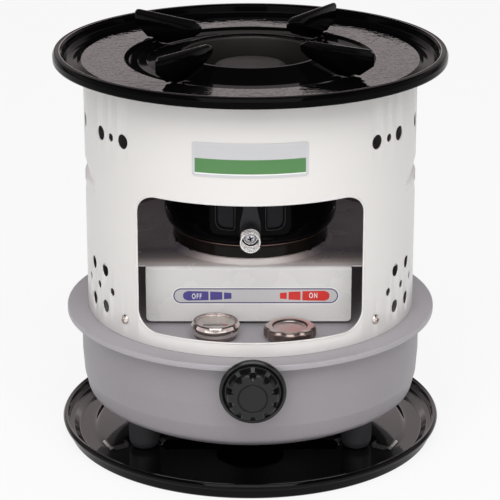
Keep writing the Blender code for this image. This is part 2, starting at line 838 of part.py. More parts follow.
def make_gauge(carrier):
    lip = gauge_radius - gauge_lip
    well = gauge_base_radius - 2 * sheet
    shelf = glass_edge_level - gap
    dial_seat = dial_level - gap
    rim = gauge_radius - gauge_rim_draw
    wall = rim - sheet
    belly_level = gauge_level + gauge_belly_height
    section = [(well, gauge_level), (gauge_base_radius, gauge_level),
               (gauge_base_radius + sheet, gauge_level + sheet),
               ((gauge_base_radius + gauge_radius) / 2, (gauge_level + belly_level) / 2),
               (gauge_radius - sheet / 4, belly_level - 2 * sheet),
               (gauge_radius - sheet / 4, belly_level + 2 * sheet),
               (rim, gauge_rim_level - sheet / 2), (rim - sheet / 2, gauge_rim_level),
               (lip, gauge_rim_level), (lip, gauge_rim_level - sheet),
               (wall, gauge_rim_level - sheet), (wall, shelf), (wall - 2 * sheet, shelf),
               (wall - 2 * sheet, dial_seat), (well, dial_seat)]
    bm = moved(turned(section, small_steps), (gauge_offset, -gauge_reach, 0))
    add_object("gauge_bezel", to_mesh(bm, "gauge_bezel"), chrome, carrier)

    edge = wall - gap
    rise = lip - gap
    top = glass_edge_level + glass_thickness
    dome = [(rise * math.sin(math.radians(a)), glass_dome * math.cos(math.radians(a)))
            for a in (65, 35)]
    section = [(0, glass_edge_level + glass_dome),
               *[(x, glass_edge_level + z) for x, z in dome[::-1]],
               (rise, glass_edge_level), (edge, glass_edge_level), (edge, top), (rise, top),
               *[(x, top + z) for x, z in dome], (0, top + glass_dome)]
    bm = moved(turned(section, small_steps, closed=False), (gauge_offset, -gauge_reach, 0))
    add_object("gauge_glass", to_mesh(bm, "gauge_glass"), glass, carrier)

    dial = moved(rod(wall - 2 * sheet - gap, dial_level, dial_level + sheet, small_steps),
                 (gauge_offset, -gauge_reach, 0))
    plate = add_object("gauge_dial", to_mesh(dial, "gauge_dial"), dial_white, carrier)
    cheeks = [block((gauge_offset - cheek_half_width, side * cheek_spread - sheet / 2 - gauge_reach,
                     pivot_level - cheek_half_width),
                    (gauge_offset + cheek_half_width, side * cheek_spread + sheet / 2 - gauge_reach,
                     dial_level + sheet / 2)) for side in (-1, 1)]
    boolean(plate, merged(cheeks), "UNION")
    slot = moved(prism(rounded_outline(dial_slot_length / 2, -dial_slot_width / 2,
                                       dial_slot_width / 2, dial_slot_width / 3,
                                       dial_slot_width / 3, 3),
                       dial_level - overrun, dial_level + overrun), (gauge_offset, -gauge_reach, 0))
    boolean(plate, slot)
    pin = forward(rod(pivot_radius + gap, gauge_reach - cheek_spread - overrun,
                      gauge_reach + cheek_spread + overrun, 10))
    boolean(plate, moved(pin, (gauge_offset, 0, pivot_level)))


def make_float(carrier):
    place = (gauge_offset, -gauge_reach, pivot_level)
    reach = cheek_spread + 2 * sheet
    pin = forward(rod(pivot_radius, -reach, reach, 10))
    arm = add_object("float_arm", to_mesh(moved(pin, place), "float_arm"), brass, carrier)
    tail = Vector((math.cos(float_rest_angle), 0, math.sin(float_rest_angle)))
    tip = Vector((math.cos(pointer_rest_angle), 0, math.sin(pointer_rest_angle)))
    for direction, length in ((tail, float_reach - float_radius - gap), (tip, pointer_reach)):
        bar = block((0, -lever_thickness / 2, -lever_half_width),
                    (length, lever_thickness / 2, lever_half_width))
        turn = Vector((1, 0, 0)).rotation_difference(direction).to_matrix()
        bmesh.ops.rotate(bar, verts=bar.verts, matrix=turn)
        boolean(arm, moved(bar, place), "UNION")

    flag = block((pointer_reach + gap, -lever_thickness / 2, -lever_half_width),
                 (pointer_reach + flag_length, lever_thickness / 2, lever_half_width))
    turn = Vector((1, 0, 0)).rotation_difference(tip).to_matrix()
    bmesh.ops.rotate(flag, verts=flag.verts, matrix=turn)
    add_object("gauge_flag", to_mesh(moved(flag, place), "gauge_flag"), pointer_red, carrier)

    body = forward(rod(float_radius, -float_length / 2, float_length / 2, fine_steps))
    moved(body, Vector(place) + tail * float_reach)
    add_object("float", to_mesh(body, "float"), cork, carrier)


def gear_half_tooth(step):
    """Half the tooth's angle at a radius a step outside the pitch circle."""
    pitch = math.pi * gear_module
    half = pitch * gear_tooth_share / 2 - step * math.tan(pressure_angle)
    return half / (pinion_radius + step)


def make_pinion(carrier):
    outline = []
    high = gear_module * gear_addendum_share
    low = -gear_module * gear_dedendum_share
    for tooth in range(pinion_teeth):
        centre = 2 * math.pi * (tooth + 0.5) / pinion_teeth
        for side, step in ((-1, low), (-1, high), (1, high), (1, low)):
            angle = centre + side * gear_half_tooth(step)
            radius = pinion_radius + step
            outline.append((radius * math.cos(angle), radius * math.sin(angle)))
    bm = forward(prism(outline, pinion_reach, pinion_reach + pinion_width))
    pinion = add_object("pinion", to_mesh(moved(bm, (shaft_offset, 0, shaft_level)), "pinion"),
                        brass, carrier)
    bore = forward(rod(shaft_radius + gap, pinion_reach - overrun,
                       pinion_reach + pinion_width + overrun, small_steps))
    boolean(pinion, moved(bore, (shaft_offset, 0, shaft_level)))


def make_rack(carrier):
    """The rack lies on the -X side of the pinion, with a tooth level with its axis."""
    pitch = math.pi * gear_module
    line = shaft_offset - pinion_radius
    high = gear_module * gear_addendum_share
    low = -gear_module * gear_dedendum_share
    back = line + low - rack_web
    first = -math.ceil((wick_travel + rack_margin) / pitch)
    last = math.ceil(rack_margin / pitch)
    outline = [(back, shaft_level + (last + 0.5) * pitch), (back, shaft_level + (first - 0.5) * pitch)]
    for tooth in range(first, last + 1):
        centre = shaft_level + tooth * pitch
        for side, step in ((-1, low), (-1, high), (1, high), (1, low)):
            half = pitch * gear_tooth_share / 2 - step * math.tan(pressure_angle)
            outline.append((line + step, centre + side * half))
    bm = forward(prism(outline, rack_reach, rack_reach + rack_thickness))
    add_object("rack", to_mesh(bm, "rack"), brass, carrier)


def make_wick(carrier):
    low = carrier_top_level - carrier_height
    tube = [(wick_inner, wick_foot_level), (wick_outer, wick_foot_level),
            (wick_outer, wick_top_level), (wick_inner, wick_top_level)]
    add_object("wick", to_mesh(turned(tube, middle_steps), "wick"), wick_cloth, carrier)
    tube = [(carrier_inner, low), (carrier_outer, low), (carrier_outer, carrier_top_level),
            (carrier_inner, carrier_top_level)]
    add_object("wick_carrier", to_mesh(turned(tube, middle_steps), "wick_carrier"), brass, carrier)


def make_knob(carrier):
    place = (shaft_offset, 0, shaft_level)
    bore = shaft_radius + gap
    back = knob_back_reach
    face = back + knob_base_depth
    end = face + knob_grip_depth
    groove = knob_groove_width / 2
    section = [(0, back + knob_bore_depth), (bore, back + knob_bore_depth), (bore, back),
               (knob_base_radius, back), (knob_base_radius, face - knob_edge),
               (knob_base_radius - knob_edge, face),
               (knob_grip_radius, face), (knob_grip_radius, end - knob_edge),
               (knob_grip_radius - knob_edge, end), (knob_groove_radius + groove, end),
               (knob_groove_radius, end - knob_groove_depth), (knob_groove_radius - groove, end),
               (0, end)]
    bm = turned(section, knob_lobes * lobe_steps, closed=False)
    for vert in bm.verts:
        radius = vert.co.xy.length
        if vert.co.z > face - gap and knob_groove_radius + 2 * groove < radius < knob_grip_radius + gap:
            wave = 0.5 - 0.5 * math.cos(knob_lobes * math.atan2(vert.co.y, vert.co.x))
            vert.co.xy *= 1 - knob_flute_depth * wave ** 2 / radius
    add_object("knob", to_mesh(moved(forward(bm), place), "knob"), black_plastic, carrier)

    bar = forward(rod(shaft_radius, pinion_reach, back + knob_bore_depth - gap, fine_steps))
    add_object("knob_shaft", to_mesh(moved(bar, place), "knob_shaft"), dark_steel, carrier)


def make_gland(carrier):
    bore = shaft_radius + gap
    wall = tank_radius + gap
    section = [(bore, wall - gland_length), (gland_radius, wall - gland_length),
               (gland_radius, wall), (gland_nut, wall), (gland_nut, wall + gland_nut_depth),
               (gland_radius, wall + gland_nut_depth + sheet),
               (bore, wall + gland_nut_depth + sheet)]
    bm = moved(forward(turned(section, fine_steps)), (shaft_offset, 0, shaft_level))
    add_object("shaft_gland", to_mesh(bm, "shaft_gland"), brass, carrier)


def make_casing(carrier):
    low = casing_level
    curve = []
    for share in (1.0, 0.72, 0.45, 0.20, 0.0):
        angle = math.pi / 2 * share
        curve.append((casing_radius - casing_curve_width * (1 - math.cos(angle)),
                      low + casing_curve_height * (1 - math.sin(angle))))
    path = [(casing_radius, casing_top_level), (casing_radius, pane_low_level), *curve[::-1],
            (casing_radius - casing_curve_width - casing_flange, low)]
    bm = turned(sheet_section(path, sheet), wide_steps)
    casing = add_object("chimney_casing", to_mesh(bm, "chimney_casing"), black_enamel, carrier)
    panes = []
    for side in (-1, 1):
        centre = side * casing_radius * math.sin(pane_angle)
        outline = rounded_outline(pane_half_width, pane_low_level, pane_high_level, pane_corner,
                                  pane_corner, 3)
        pane = forward(prism(outline, casing_radius / 2, casing_radius + overrun))
        panes.append(moved(pane, (centre, 0, 0)))
    hole = moved(forward(rod(handle_screw_radius + gap, casing_radius - overrun,
                             casing_radius + overrun, fine_steps)), (0, 0, handle_level))
    boolean(casing, merged(panes + [hole]))

    outer = casing_bore - gap
    reach = math.asin((casing_radius * math.sin(pane_angle) + pane_half_width + pane_lap) / outer)
    inner_reach = math.asin((casing_radius * math.sin(pane_angle) - pane_half_width - pane_lap)
                            / outer)
    for name, side in (("mica_pane_left", -1), ("mica_pane_right", 1)):
        bm = sector(outer - mica, outer, pane_low_level - pane_lap, pane_high_level + pane_lap,
                    front + side * (reach + inner_reach) / 2, (reach - inner_reach) / 2, 4)
        add_object(name, to_mesh(bm, name), mica_sheet, carrier)


def perforated(name, radius, low, high, columns, rows, finish, carrier):
    """A sheet tube with a grid of holes, made open and then thickened inwards."""
    bm = bmesh.new()
    levels = [low]
    pitch = (high - low) / rows
    for row in range(rows):
        middle = low + (row + 0.5) * pitch
        levels += [middle - pitch * hole_height_share / 2, middle + pitch * hole_height_share / 2]
    levels.append(high)
    angles = []
    for column in range(columns):
        middle = 2 * math.pi * (column + 0.5) / columns
        half = math.pi / columns * hole_width_share
        angles += [middle - half, middle + half]
    grid = [[bm.verts.new((radius * math.cos(a), radius * math.sin(a), z)) for a in angles]
            for z in levels]
    count = len(angles)
    for row in range(len(levels) - 1):
        for column in range(count):
            if row % 2 == 1 and column % 2 == 0:
                continue
            after = (column + 1) % count
            bm.faces.new([grid[row][column], grid[row][after], grid[row + 1][after],
                          grid[row + 1][column]])
    tube = add_object(name, to_mesh(bm, name), finish, carrier)
    thicken = tube.modifiers.new("sheet", "SOLIDIFY")
    thicken.thickness = flame_tube_wall
    thicken.offset = -1
    return tube


def make_flame_tubes(carrier):
    low = burner_level + gap
    outer = perforated("outer_flame_tube", flame_tube_radius, low, flame_tube_top_level, 12, 2,
                       dark_steel, carrier)
    inner = perforated("inner_flame_tube", air_tube_radius, low, inner_tube_top_level, 8, 3,
                       dark_steel, carrier)
    for tube, reach in ((outer, flame_tube_radius), (inner, air_tube_radius)):
        for side in (-1, 1):
            drill = outward(rod(cross_pin_radius + gap, reach - overrun, reach + overrun, 10))
            drill = turn_to(drill, math.pi / 2 - side * math.pi / 2)
            boolean(tube, moved(drill, (0, 0, cross_pin_level)))
    section = [(0, inner_tube_top_level + gap), (spreader_radius, inner_tube_top_level + gap),
               (spreader_radius, inner_tube_top_level + gap + sheet),
               (spreader_radius - spreader_dish, spreader_level), (0, spreader_level)]
    bm = turned(section, middle_steps, closed=False)
    add_object("flame_spreader", to_mesh(bm, "flame_spreader"), dark_steel, carrier)
    reach = casing_bore - gap
    bm = moved(outward(rod(cross_pin_radius, -reach, reach, 10)), (0, 0, cross_pin_level))
    add_object("cross_pin", to_mesh(bm, "cross_pin"), dark_steel, carrier)


def make_handle(carrier):
    back = casing_radius + gap
    outline = [(-bracket_half_width, bracket_low_level), (bracket_half_width, bracket_low_level),
               (bracket_half_width, bracket_neck_level), (bracket_top_half_width, bracket_top_level),
               (-bracket_top_half_width, bracket_top_level),
               (-bracket_half_width, bracket_neck_level)]
    bm = forward(prism(outline, back, back + bracket_thickness))
    bracket = add_object("handle_bracket", to_mesh(bm, "handle_bracket"), black_enamel, carrier)
    hole = forward(rod(handle_screw_radius + gap, back - overrun, back + overrun, fine_steps))
    boolean(bracket, moved(hole, (0, 0, handle_level)))

    washer_back = coil_reach + coil_wire + gap
    section = [(handle_screw_radius + gap, washer_back), (washer_radius, washer_back),
               (washer_radius, washer_back + washer_thickness),
               (handle_screw_radius + gap, washer_back + washer_thickness)]
    bm = moved(forward(turned(section, fine_steps)), (0, 0, handle_level))
    add_object("handle_washer", to_mesh(bm, "handle_washer"), chrome, carrier)

    head = washer_back + washer_thickness + gap
    bm = moved(pan_head(handle_screw_head, handle_screw_dome, handle_screw_radius,
                        head - casing_radius + 3 * sheet, fine_steps), (0, 0, head))
    add_object("handle_screw", to_mesh(moved(forward(bm), (0, 0, handle_level)), "handle_screw"),
               chrome, carrier)
    make_coil(carrier)


def coil_points():
    """A flat spiral round the screw, then a helix of constant radius along -Y."""
    points = []
    spiral = round(coil_spiral_turns * coil_points_per_turn)
    total = spiral + round(coil_turns * coil_points_per_turn)
    for k in range(total + 1):
        angle = coil_start_angle + 2 * math.pi * k / coil_points_per_turn
        grown = min(k / spiral, 1)
        radius = coil_eye_radius + (coil_radius - coil_eye_radius) * grown
        along = coil_reach + coil_pitch * max(k - spiral, 0) / coil_points_per_turn
        points.append(Vector((radius * math.cos(angle), -along,
                              handle_level + radius * math.sin(angle))))
    for end, inner in ((0, 1), (-1, -2)):
        straight = (points[end] - points[inner]).normalized() * 2 * coil_wire
        points.insert(0 if end == 0 else len(points), points[end] + straight)
    return points


def distance(a, b, c, d):
    """Least distance between two pieces of the wire, sampled along both."""
    shares = [k / 6 for k in range(7)]
    return min((a.lerp(b, s) - c.lerp(d, t)).length for s in shares for t in shares)


def make_coil(carrier):
    points = coil_points()
    spans = list(zip(points, points[1:]))
    least = min(distance(*spans[i], *spans[j]) for i in range(len(spans))
                for j in range(i + 4, len(spans)))
    print("coil: least gap to itself", round((least - 2 * coil_wire) * 1000, 2), "mm")
    curve = bpy.data.curves.new("handle_coil", "CURVE")
    curve.dimensions = "3D"
    curve.bevel_depth = coil_wire
    curve.bevel_resolution = 1
    curve.use_fill_caps = True
    line = curve.splines.new("POLY")
    line.points.add(len(points) - 1)
    for made, point in zip(line.points, points):
        made.co = (*point, 1)
    coil = bpy.data.objects.new("handle_coil", curve)
    curve.materials.append(chrome)
    bpy.context.scene.collection.objects.link(coil)
    coil.parent = carrier
    coil.matrix_parent_inverse = Matrix.Translation(-Vector(carrier.location))


def collar_level(radius):
    """Level of the top plate's upper side on the slope round its opening."""
    share = (radius - plate_opening_radius) / (collar_foot_radius - plate_opening_radius)
    return plate_opening_level + share * (collar_foot_level - plate_opening_level)


def make_top_plate(carrier):
    path = [(plate_opening_radius, plate_opening_level), (collar_foot_radius, collar_foot_level),
            (trough_inner_radius, trough_level), (trough_outer_radius, trough_level),
            (plate_inner_radius, plate_level), (plate_outer_radius, plate_level),
            (gutter_inner_radius, gutter_level), (gutter_outer_radius, gutter_level),
            (plate_wall_radius - plate_wall_slope, gutter_level + plate_wall_foot),
            (plate_wall_radius, plate_crest_level - plate_rim_edge),
            (plate_crest_radius, plate_crest_level),
            (plate_rim_radius - plate_rim_edge, plate_crest_level - plate_rim_edge / 2),
            (plate_rim_radius, plate_crest_level - 2 * plate_rim_edge),
            (plate_rim_radius, plate_rim_low_level)]
    bm = turned(sheet_section(path, sheet), wide_steps)
    add_object("top_plate", to_mesh(bm, "top_plate"), black_enamel, carrier)


def make_flue_sleeve(carrier):
    flange = sleeve_radius + sleeve_flange
    drop = sheet + 2 * gap
    path = [(flange, collar_level(flange) - drop), (sleeve_radius, collar_level(sleeve_radius) - drop),
            (sleeve_radius, sleeve_low_level)]
    bm = turned(sheet_section(path, -sheet), middle_steps)
    add_object("flue_sleeve", to_mesh(bm, "flue_sleeve"), dark_steel, carrier)


def make_pan_supports(carrier):
    foot = trough_level + gap
    high = support_top_level
    nose_low = high - support_nose_height
    nose_high = high - support_nose_height / 2
    inner = support_inner_radius
    outer = support_outer_radius
    outline = [(support_foot_inner, foot), (support_foot_outer, foot),
               (plate_inner_radius - sheet, plate_level + sheet),
               (plate_inner_radius + support_corner, plate_level + sheet),
               (outer, high - support_end_height),
               (outer, high - support_corner / 2),
               (outer - support_corner / 3, high - support_corner / 6),
               (outer - support_corner, high),
               (inner + support_corner + 2 * sheet, high - support_top_slope),
               (inner + support_corner / 2, high - support_top_slope - support_corner / 3),
               (inner + sheet / 2, nose_high + sheet), (inner, nose_high),
               (inner + sheet, nose_high - 2 * sheet),
               (plate_opening_radius + 2 * sheet, nose_low)]
    for number in range(1, support_count + 1):
        angle = math.pi / 4 + support_turn + 2 * math.pi * (number - 1) / support_count
        bm = turn_to(forward(prism(outline, -support_sheet / 2, support_sheet / 2)), angle)
        add_object(f"pan_support_{number}", to_mesh(bm, "pan_support"), black_enamel, carrier)


stove = axis_empty("stove", (0, 0, 0))
knob_turn = axis_empty("knob_turn", (shaft_offset, -knob_back_reach, shaft_level))
wick_lift = axis_empty("wick_lift", (0, 0, carrier_top_level))
float_swing = axis_empty("float_swing", (gauge_offset, -gauge_reach, pivot_level))
cap_lift = axis_empty("cap_lift", (filler_offset, -filler_reach, neck_level))
cap_turn = axis_empty("cap_turn", (filler_offset, -filler_reach, cap_level))
chimney = axis_empty("chimney", (0, 0, casing_level))
plate_lift = axis_empty("plate_lift", (0, 0, plate_level))

make_drip_tray()
make_feet(stove)
make_tank_shell(stove)
make_tank_top(stove)
make_air_tube(stove)
make_throat_tube(stove)
make_deck(stove)
make_burner_base(stove)
make_drum(stove)
make_fixings(stove)
make_label(stove)
make_filler_neck(stove)
make_gland(stove)
make_gauge(stove)
make_knob(knob_turn)
make_pinion(knob_turn)
make_wick(wick_lift)
make_rack(wick_lift)
make_float(float_swing)
make_cap(cap_lift, cap_turn)
make_casing(chimney)
make_flame_tubes(chimney)
make_handle(chimney)
make_top_plate(plate_lift)
make_flue_sleeve(plate_lift)
make_pan_supports(plate_lift)
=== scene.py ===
import math

import bmesh
import bpy
from mathutils import Matrix, Vector


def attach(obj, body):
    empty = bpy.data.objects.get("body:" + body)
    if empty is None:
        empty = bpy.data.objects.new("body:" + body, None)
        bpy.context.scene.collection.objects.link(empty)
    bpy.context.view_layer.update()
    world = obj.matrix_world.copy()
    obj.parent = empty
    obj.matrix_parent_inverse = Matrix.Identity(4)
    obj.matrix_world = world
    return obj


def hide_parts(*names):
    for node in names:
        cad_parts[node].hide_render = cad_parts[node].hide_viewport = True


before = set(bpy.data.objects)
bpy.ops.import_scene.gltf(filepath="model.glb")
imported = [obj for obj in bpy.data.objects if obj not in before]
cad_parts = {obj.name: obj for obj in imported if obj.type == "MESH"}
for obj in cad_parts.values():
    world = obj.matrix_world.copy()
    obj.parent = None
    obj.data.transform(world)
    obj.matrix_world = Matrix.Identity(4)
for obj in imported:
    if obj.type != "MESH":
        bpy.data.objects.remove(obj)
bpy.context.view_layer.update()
print("frame loaded:", len(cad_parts), "nodes")

# All lengths are in metres, the origin is on the stove's axis at the tray's underside

mm = 0.001
speck = 0.01 * mm   # a length below this counts as nothing
frontAngle = math.radians(-90)


def inMm(sizes):
    # a length, or a list, tuple or dictionary of lengths, from millimetres to metres
    if isinstance(sizes, dict):
        return {title: inMm(size) for title, size in sizes.items()}
    if isinstance(sizes, (list, tuple)):
        return type(sizes)(inMm(size) for size in sizes)
    return sizes * mm


def near(x, z, *offsets):
    # points of a section near a named one: (right, up) or (right, up, r) in millimetres
    return [(x + right * mm, z + up * mm, *inMm(more)) for right, up, *more in offsets]


def easeIn(x):
    x = max(0.0, min(1.0, x))
    return x * x * (3 - 2 * x)


# Mesh helpers

def linked(name, data):
    made = bpy.data.objects.new(name, data)
    bpy.context.scene.collection.objects.link(made)
    return made


def smoothed(mesh, crease):
    mesh.shade_smooth()
    mesh.set_sharp_from_angle(angle=math.radians(crease))


def newObject(name, verts, faces, crease=35, turn=None, at=(0, 0, 0)):
    verts = [Vector(v) if turn is None else turn @ Vector(v) for v in verts]
    mesh = bpy.data.meshes.new(name)
    mesh.from_pydata([tuple(v + Vector(at)) for v in verts], [], faces)
    mesh.validate()
    bm = bmesh.new()
    bm.from_mesh(mesh)
    bmesh.ops.remove_doubles(bm, verts=bm.verts, dist=speck)
    bmesh.ops.recalc_face_normals(bm, faces=bm.faces)
    bm.to_mesh(mesh)
    bm.free()
    smoothed(mesh, crease)
    return linked(name, mesh)


def rounded(path, reach, steps=5):
    # path is (x, y) or (x, y, r); each inner corner becomes an arc of radius r, or of reach
    points = [Vector(path[0][:2])]
    for before, here, after in zip(path, path[1:], path[2:]):
        radius = here[2] if len(here) > 2 else reach
        corner = Vector(here[:2])
        a, b = Vector(before[:2]) - corner, Vector(after[:2]) - corner
        turn = a.angle(b, math.pi)
        if radius <= 0 or math.pi - turn < 0.02:
            points.append(corner)
            continue
        back = min(radius / math.tan(turn / 2), 0.48 * a.length, 0.48 * b.length)
        start, end = corner + a.normalized() * back, corner + b.normalized() * back
        for k in range(steps + 1):
            t = k / steps
            points.append(start.lerp(corner, t).lerp(corner.lerp(end, t), t))
    points.append(Vector(path[-1][:2]))
    return points


def roundedLoop(path, reach, steps=5):
    # the same for a closed outline
    return rounded([path[-1], *path, path[0]], reach, steps)[1:-1]


def sheetLoop(path, thick, reach=0.0015, steps=5):
    # a sheet's section: the path is its outer side, the thickness goes to the path's right
    line = rounded(path, reach, steps)
    inner = []
    for k, here in enumerate(line):
        before = (here - line[k - 1]).normalized() if k else None
        after = (line[k + 1] - here).normalized() if k + 1 < len(line) else None
        along = ((before or after) + (after or before)).normalized()
        across = Vector((along.y, -along.x))
        inner.append(here + across * thick / max(along.dot(before or after), 0.6))
    caps = []
    for end, side, outward in ((line[-1], inner[-1], line[-1] - line[-2]),
                               (inner[0], line[0], line[0] - line[1])):
        middle = (end + side) / 2
        arm = end - middle
        lead = outward.normalized() * arm.length
        caps.append([middle + arm * math.cos(a) + lead * math.sin(a)
                     for a in (math.pi / 4, math.pi / 2, 3 * math.pi / 4)])
    return [*line, *caps[0], *inner[::-1], *caps[1]]


def oblong(left, low, right, high):
    return [(left, low), (right, low), (right, high), (left, high)]


def spun(name, loop, steps, shape=None, crease=35, turn=None, at=(0, 0, 0)):
    # spins (radius, height) points round Z; shape may move each point after that
    verts, faces, count = [], [], len(loop)
    for s in range(steps):
        angle = 2 * math.pi * s / steps
        for radius, height in loop:
            r, z = shape(radius, height, angle) if shape else (radius, height)
            verts.append((r * math.cos(angle), r * math.sin(angle), z))
    onAxis = loop[0][0] < speck and loop[-1][0] < speck   # such a loop is closed by its ends
    for s in range(steps):
        here, there = s * count, (s + 1) % steps * count
        for k in range(count - 1 if onAxis else count):
            n = (k + 1) % count
            quad = [here + k, there + k, there + n, here + n]
            if loop[k][0] < speck:
                quad = [here + k, there + n, here + n]
            elif loop[n][0] < speck:
                quad = [here + k, there + k, here + n]
            faces.append(quad)
    return newObject(name, verts, faces, crease, turn, at)


def rod(name, radius, low, high, sides, turn=None, at=(0, 0, 0)):
    return spun(name, oblong(0, low, radius, high), sides, turn=turn, at=at)


def prismFaces(count, rings=2):
    # both ends of a prism, and the faces between its rings of points
    faces = [list(range(count))[::-1], [count * (rings - 1) + k for k in range(count)]]
    for start in range(0, count * (rings - 1), count):
        for k in range(count):
            n = (k + 1) % count
            faces.append([start + k, start + n, start + count + n, start + count + k])
    return faces


def slab(name, outline, low, high, turn=None, at=(0, 0, 0), edge=0.0, crease=35):
    # a flat outline extruded along Z, with its rims cut back by edge
    count = len(outline)
    rings = [(0.0, low), (0.0, high)]
    if edge:
        rings = [(edge, low), (0.0, low + edge), (0.0, high - edge), (edge, high)]
    verts = []
    for inset, z in rings:
        for k, point in enumerate(outline):
            here = Vector(point[:2])
            before = (here - Vector(outline[k - 1][:2])).normalized()
            after = (Vector(outline[(k + 1) % count][:2]) - here).normalized()
            along = before + after
            along = along.normalized() if along.length > 1e-6 else before
            moved = here + Vector((-along.y, along.x)) * inset
            verts.append((moved.x, moved.y, z))
    return newObject(name, verts, prismFaces(count, len(rings)), crease, turn, at)


def tube(name, points, radius, closed=True, steps=4):
    curve = bpy.data.curves.new(name, "CURVE")
    curve.dimensions = "3D"
    curve.bevel_depth = radius
    curve.bevel_resolution = steps
    curve.use_fill_caps = not closed
    line = curve.splines.new("POLY")
    line.points.add(len(points) - 1)
    for made, point in zip(line.points, points):
        made.co = (*point, 1)
    line.use_cyclic_u = closed
    return linked(name, curve)


def baked(piece):
    # the piece as its modifiers leave it
    graph = bpy.context.evaluated_depsgraph_get()
    mesh = bpy.data.meshes.new_from_object(piece.evaluated_get(graph))
    name = piece.name
    bpy.data.objects.remove(piece)
    return linked(name, mesh)


def cut(piece, cutters, operation="DIFFERENCE", crease=35):
    for cutter in cutters:
        step = piece.modifiers.new("cut", "BOOLEAN")
        step.operation = operation
        step.solver = "EXACT"
        step.object = cutter
    made = baked(piece)
    for cutter in cutters:
        bpy.data.objects.remove(cutter)
    smoothed(made.data, crease)
    return made


def joined(pieces, name):
    bm = bmesh.new()
    for piece in pieces:
        bm.from_mesh(piece.data)
        bpy.data.objects.remove(piece)
    mesh = bpy.data.meshes.new(name)
    bm.to_mesh(mesh)
    bm.free()
    return linked(name, mesh)


def softEdges(piece, width, angle, crease):
    step = piece.modifiers.new("edges", "BEVEL")
    step.width = width
    step.segments = 2
    step.limit_method = "ANGLE"
    step.angle_limit = math.radians(angle)
    made = baked(piece)
    smoothed(made.data, crease)
    return made


towardsFront = Matrix.Rotation(math.radians(90), 3, "X")   # what pointed up points along -Y
towardsRight = Matrix.Rotation(math.radians(90), 3, "Y")   # what pointed up points along +X


def aroundZ(angle):
    return Matrix.Rotation(angle, 3, "Z")


def place(piece, body, slotName, material, *nodes):
    # the piece's material and body, and the CAD nodes that it stands for; slotName is not used
    piece.data.materials.clear()
    piece.data.materials.append(material)
    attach(piece, body)
    if nodes:
        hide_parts(*nodes)
    return piece


def ring(name, body, slotName, material, node, section, steps, crease=40, **more):
    # a turned piece that stands for one CAD node, or for none
    piece = spun(name, section, steps, crease=crease, **more)
    return place(piece, body, slotName, material, *([node] if node else []))


def secondSkin(piece, material, chosen, axis=(0, 0)):
    # one more material, on the faces that chosen picks by their centre, how much they face up,
    # how far they are from the axis and how much they face away from it
    piece.data.materials.append(material)
    last = len(piece.data.materials) - 1
    for face in piece.data.polygons:
        x, y = face.center.x - axis[0], face.center.y - axis[1]
        radius = math.hypot(x, y)
        outward = (face.normal.x * x + face.normal.y * y) / max(radius, speck)
        if chosen(face.center, face.normal.z, radius, outward):
            face.material_index = last


# Shader nodes and the groups that the finishes share

def feed(tree, socket, given):
    if isinstance(given, bpy.types.NodeSocket):
        tree.links.new(given, socket)
    else:
        socket.default_value = given


def added(tree, kind, group=None, **inputs):
    # a new node with a value or a link on each input; From_Min stands for the input From Min
    node = tree.nodes.new("ShaderNode" + kind)
    if group:
        node.node_tree = group
    for title, given in inputs.items():
        feed(tree, node.inputs[title.replace("_", " ")], given)
    return node


def noise(tree, vector, scale, detail=2.0):
    return added(tree, "TexNoise", Vector=vector, Scale=scale, Detail=detail).outputs["Fac"]


def mathNode(tree, operation, a, b):
    node = added(tree, "Math")
    node.operation = operation
    for socket, given in zip(node.inputs, (a, b)):
        feed(tree, socket, given)
    return node.outputs[0]


def mixedColour(tree, share, a, b, blend="MIX"):
    node = added(tree, "Mix")
    node.data_type = "RGBA"
    node.blend_type = blend
    for title, given in (("Factor", share), ("A", a), ("B", b)):
        feed(tree, node.inputs[title], given)
    return node.outputs["Result"]


def mixedShader(tree, share, a, b):
    node = added(tree, "MixShader")
    for socket, given in zip(node.inputs, (share, a, b)):
        feed(tree, socket, given)
    return node.outputs["Shader"]


def colourRamp(tree, share, stops, interpolation="LINEAR"):
    node = added(tree, "ValToRGB", Fac=share)
    node.color_ramp.interpolation = interpolation
    elements = node.color_ramp.elements
    while len(elements) < len(stops):
        elements.new(0.5)
    for element, (position, colour) in zip(elements, stops):
        element.position = position
        element.color = (*colour, 1)
    return node.outputs["Color"]


def nodeGroup(name, inputs, outputs):
    # each socket has its default: a number makes a number socket, a tuple a colour socket
    group = bpy.data.node_groups.new(name, "ShaderNodeTree")
    for way, sockets in (("INPUT", inputs), ("OUTPUT", outputs)):
        for title, value in sockets.items():
            kind = "NodeSocketColor" if isinstance(value, tuple) else "NodeSocketFloat"
            socket = group.interface.new_socket(title, in_out=way, socket_type=kind)
            socket.default_value = value
    return group, group.nodes.new("NodeGroupInput").outputs, group.nodes.new("NodeGroupOutput")


def grainGroup():
    # an even grain in the surface, with a slower change of gloss across it
    group, start, end = nodeGroup(
        "surface grain", {"Scale": 900.0, "Depth": 0.1, "Roughness": 0.3, "Spread": 0.1},
        {"Height": 0.0, "Roughness": 0.3})
    spot = added(group, "TexCoord").outputs["Object"]
    height = mathNode(group, "MULTIPLY", noise(group, spot, start["Scale"]), start["Depth"])
    slow = mathNode(group, "SUBTRACT", noise(group, spot, 28.0, 4.0), 0.5)
    change = mathNode(group, "MULTIPLY", slow, start["Spread"])
    gloss = mathNode(group, "ADD", change, start["Roughness"])
    group.links.new(height, end.inputs["Height"])
    group.links.new(gloss, end.inputs["Roughness"])
    return group


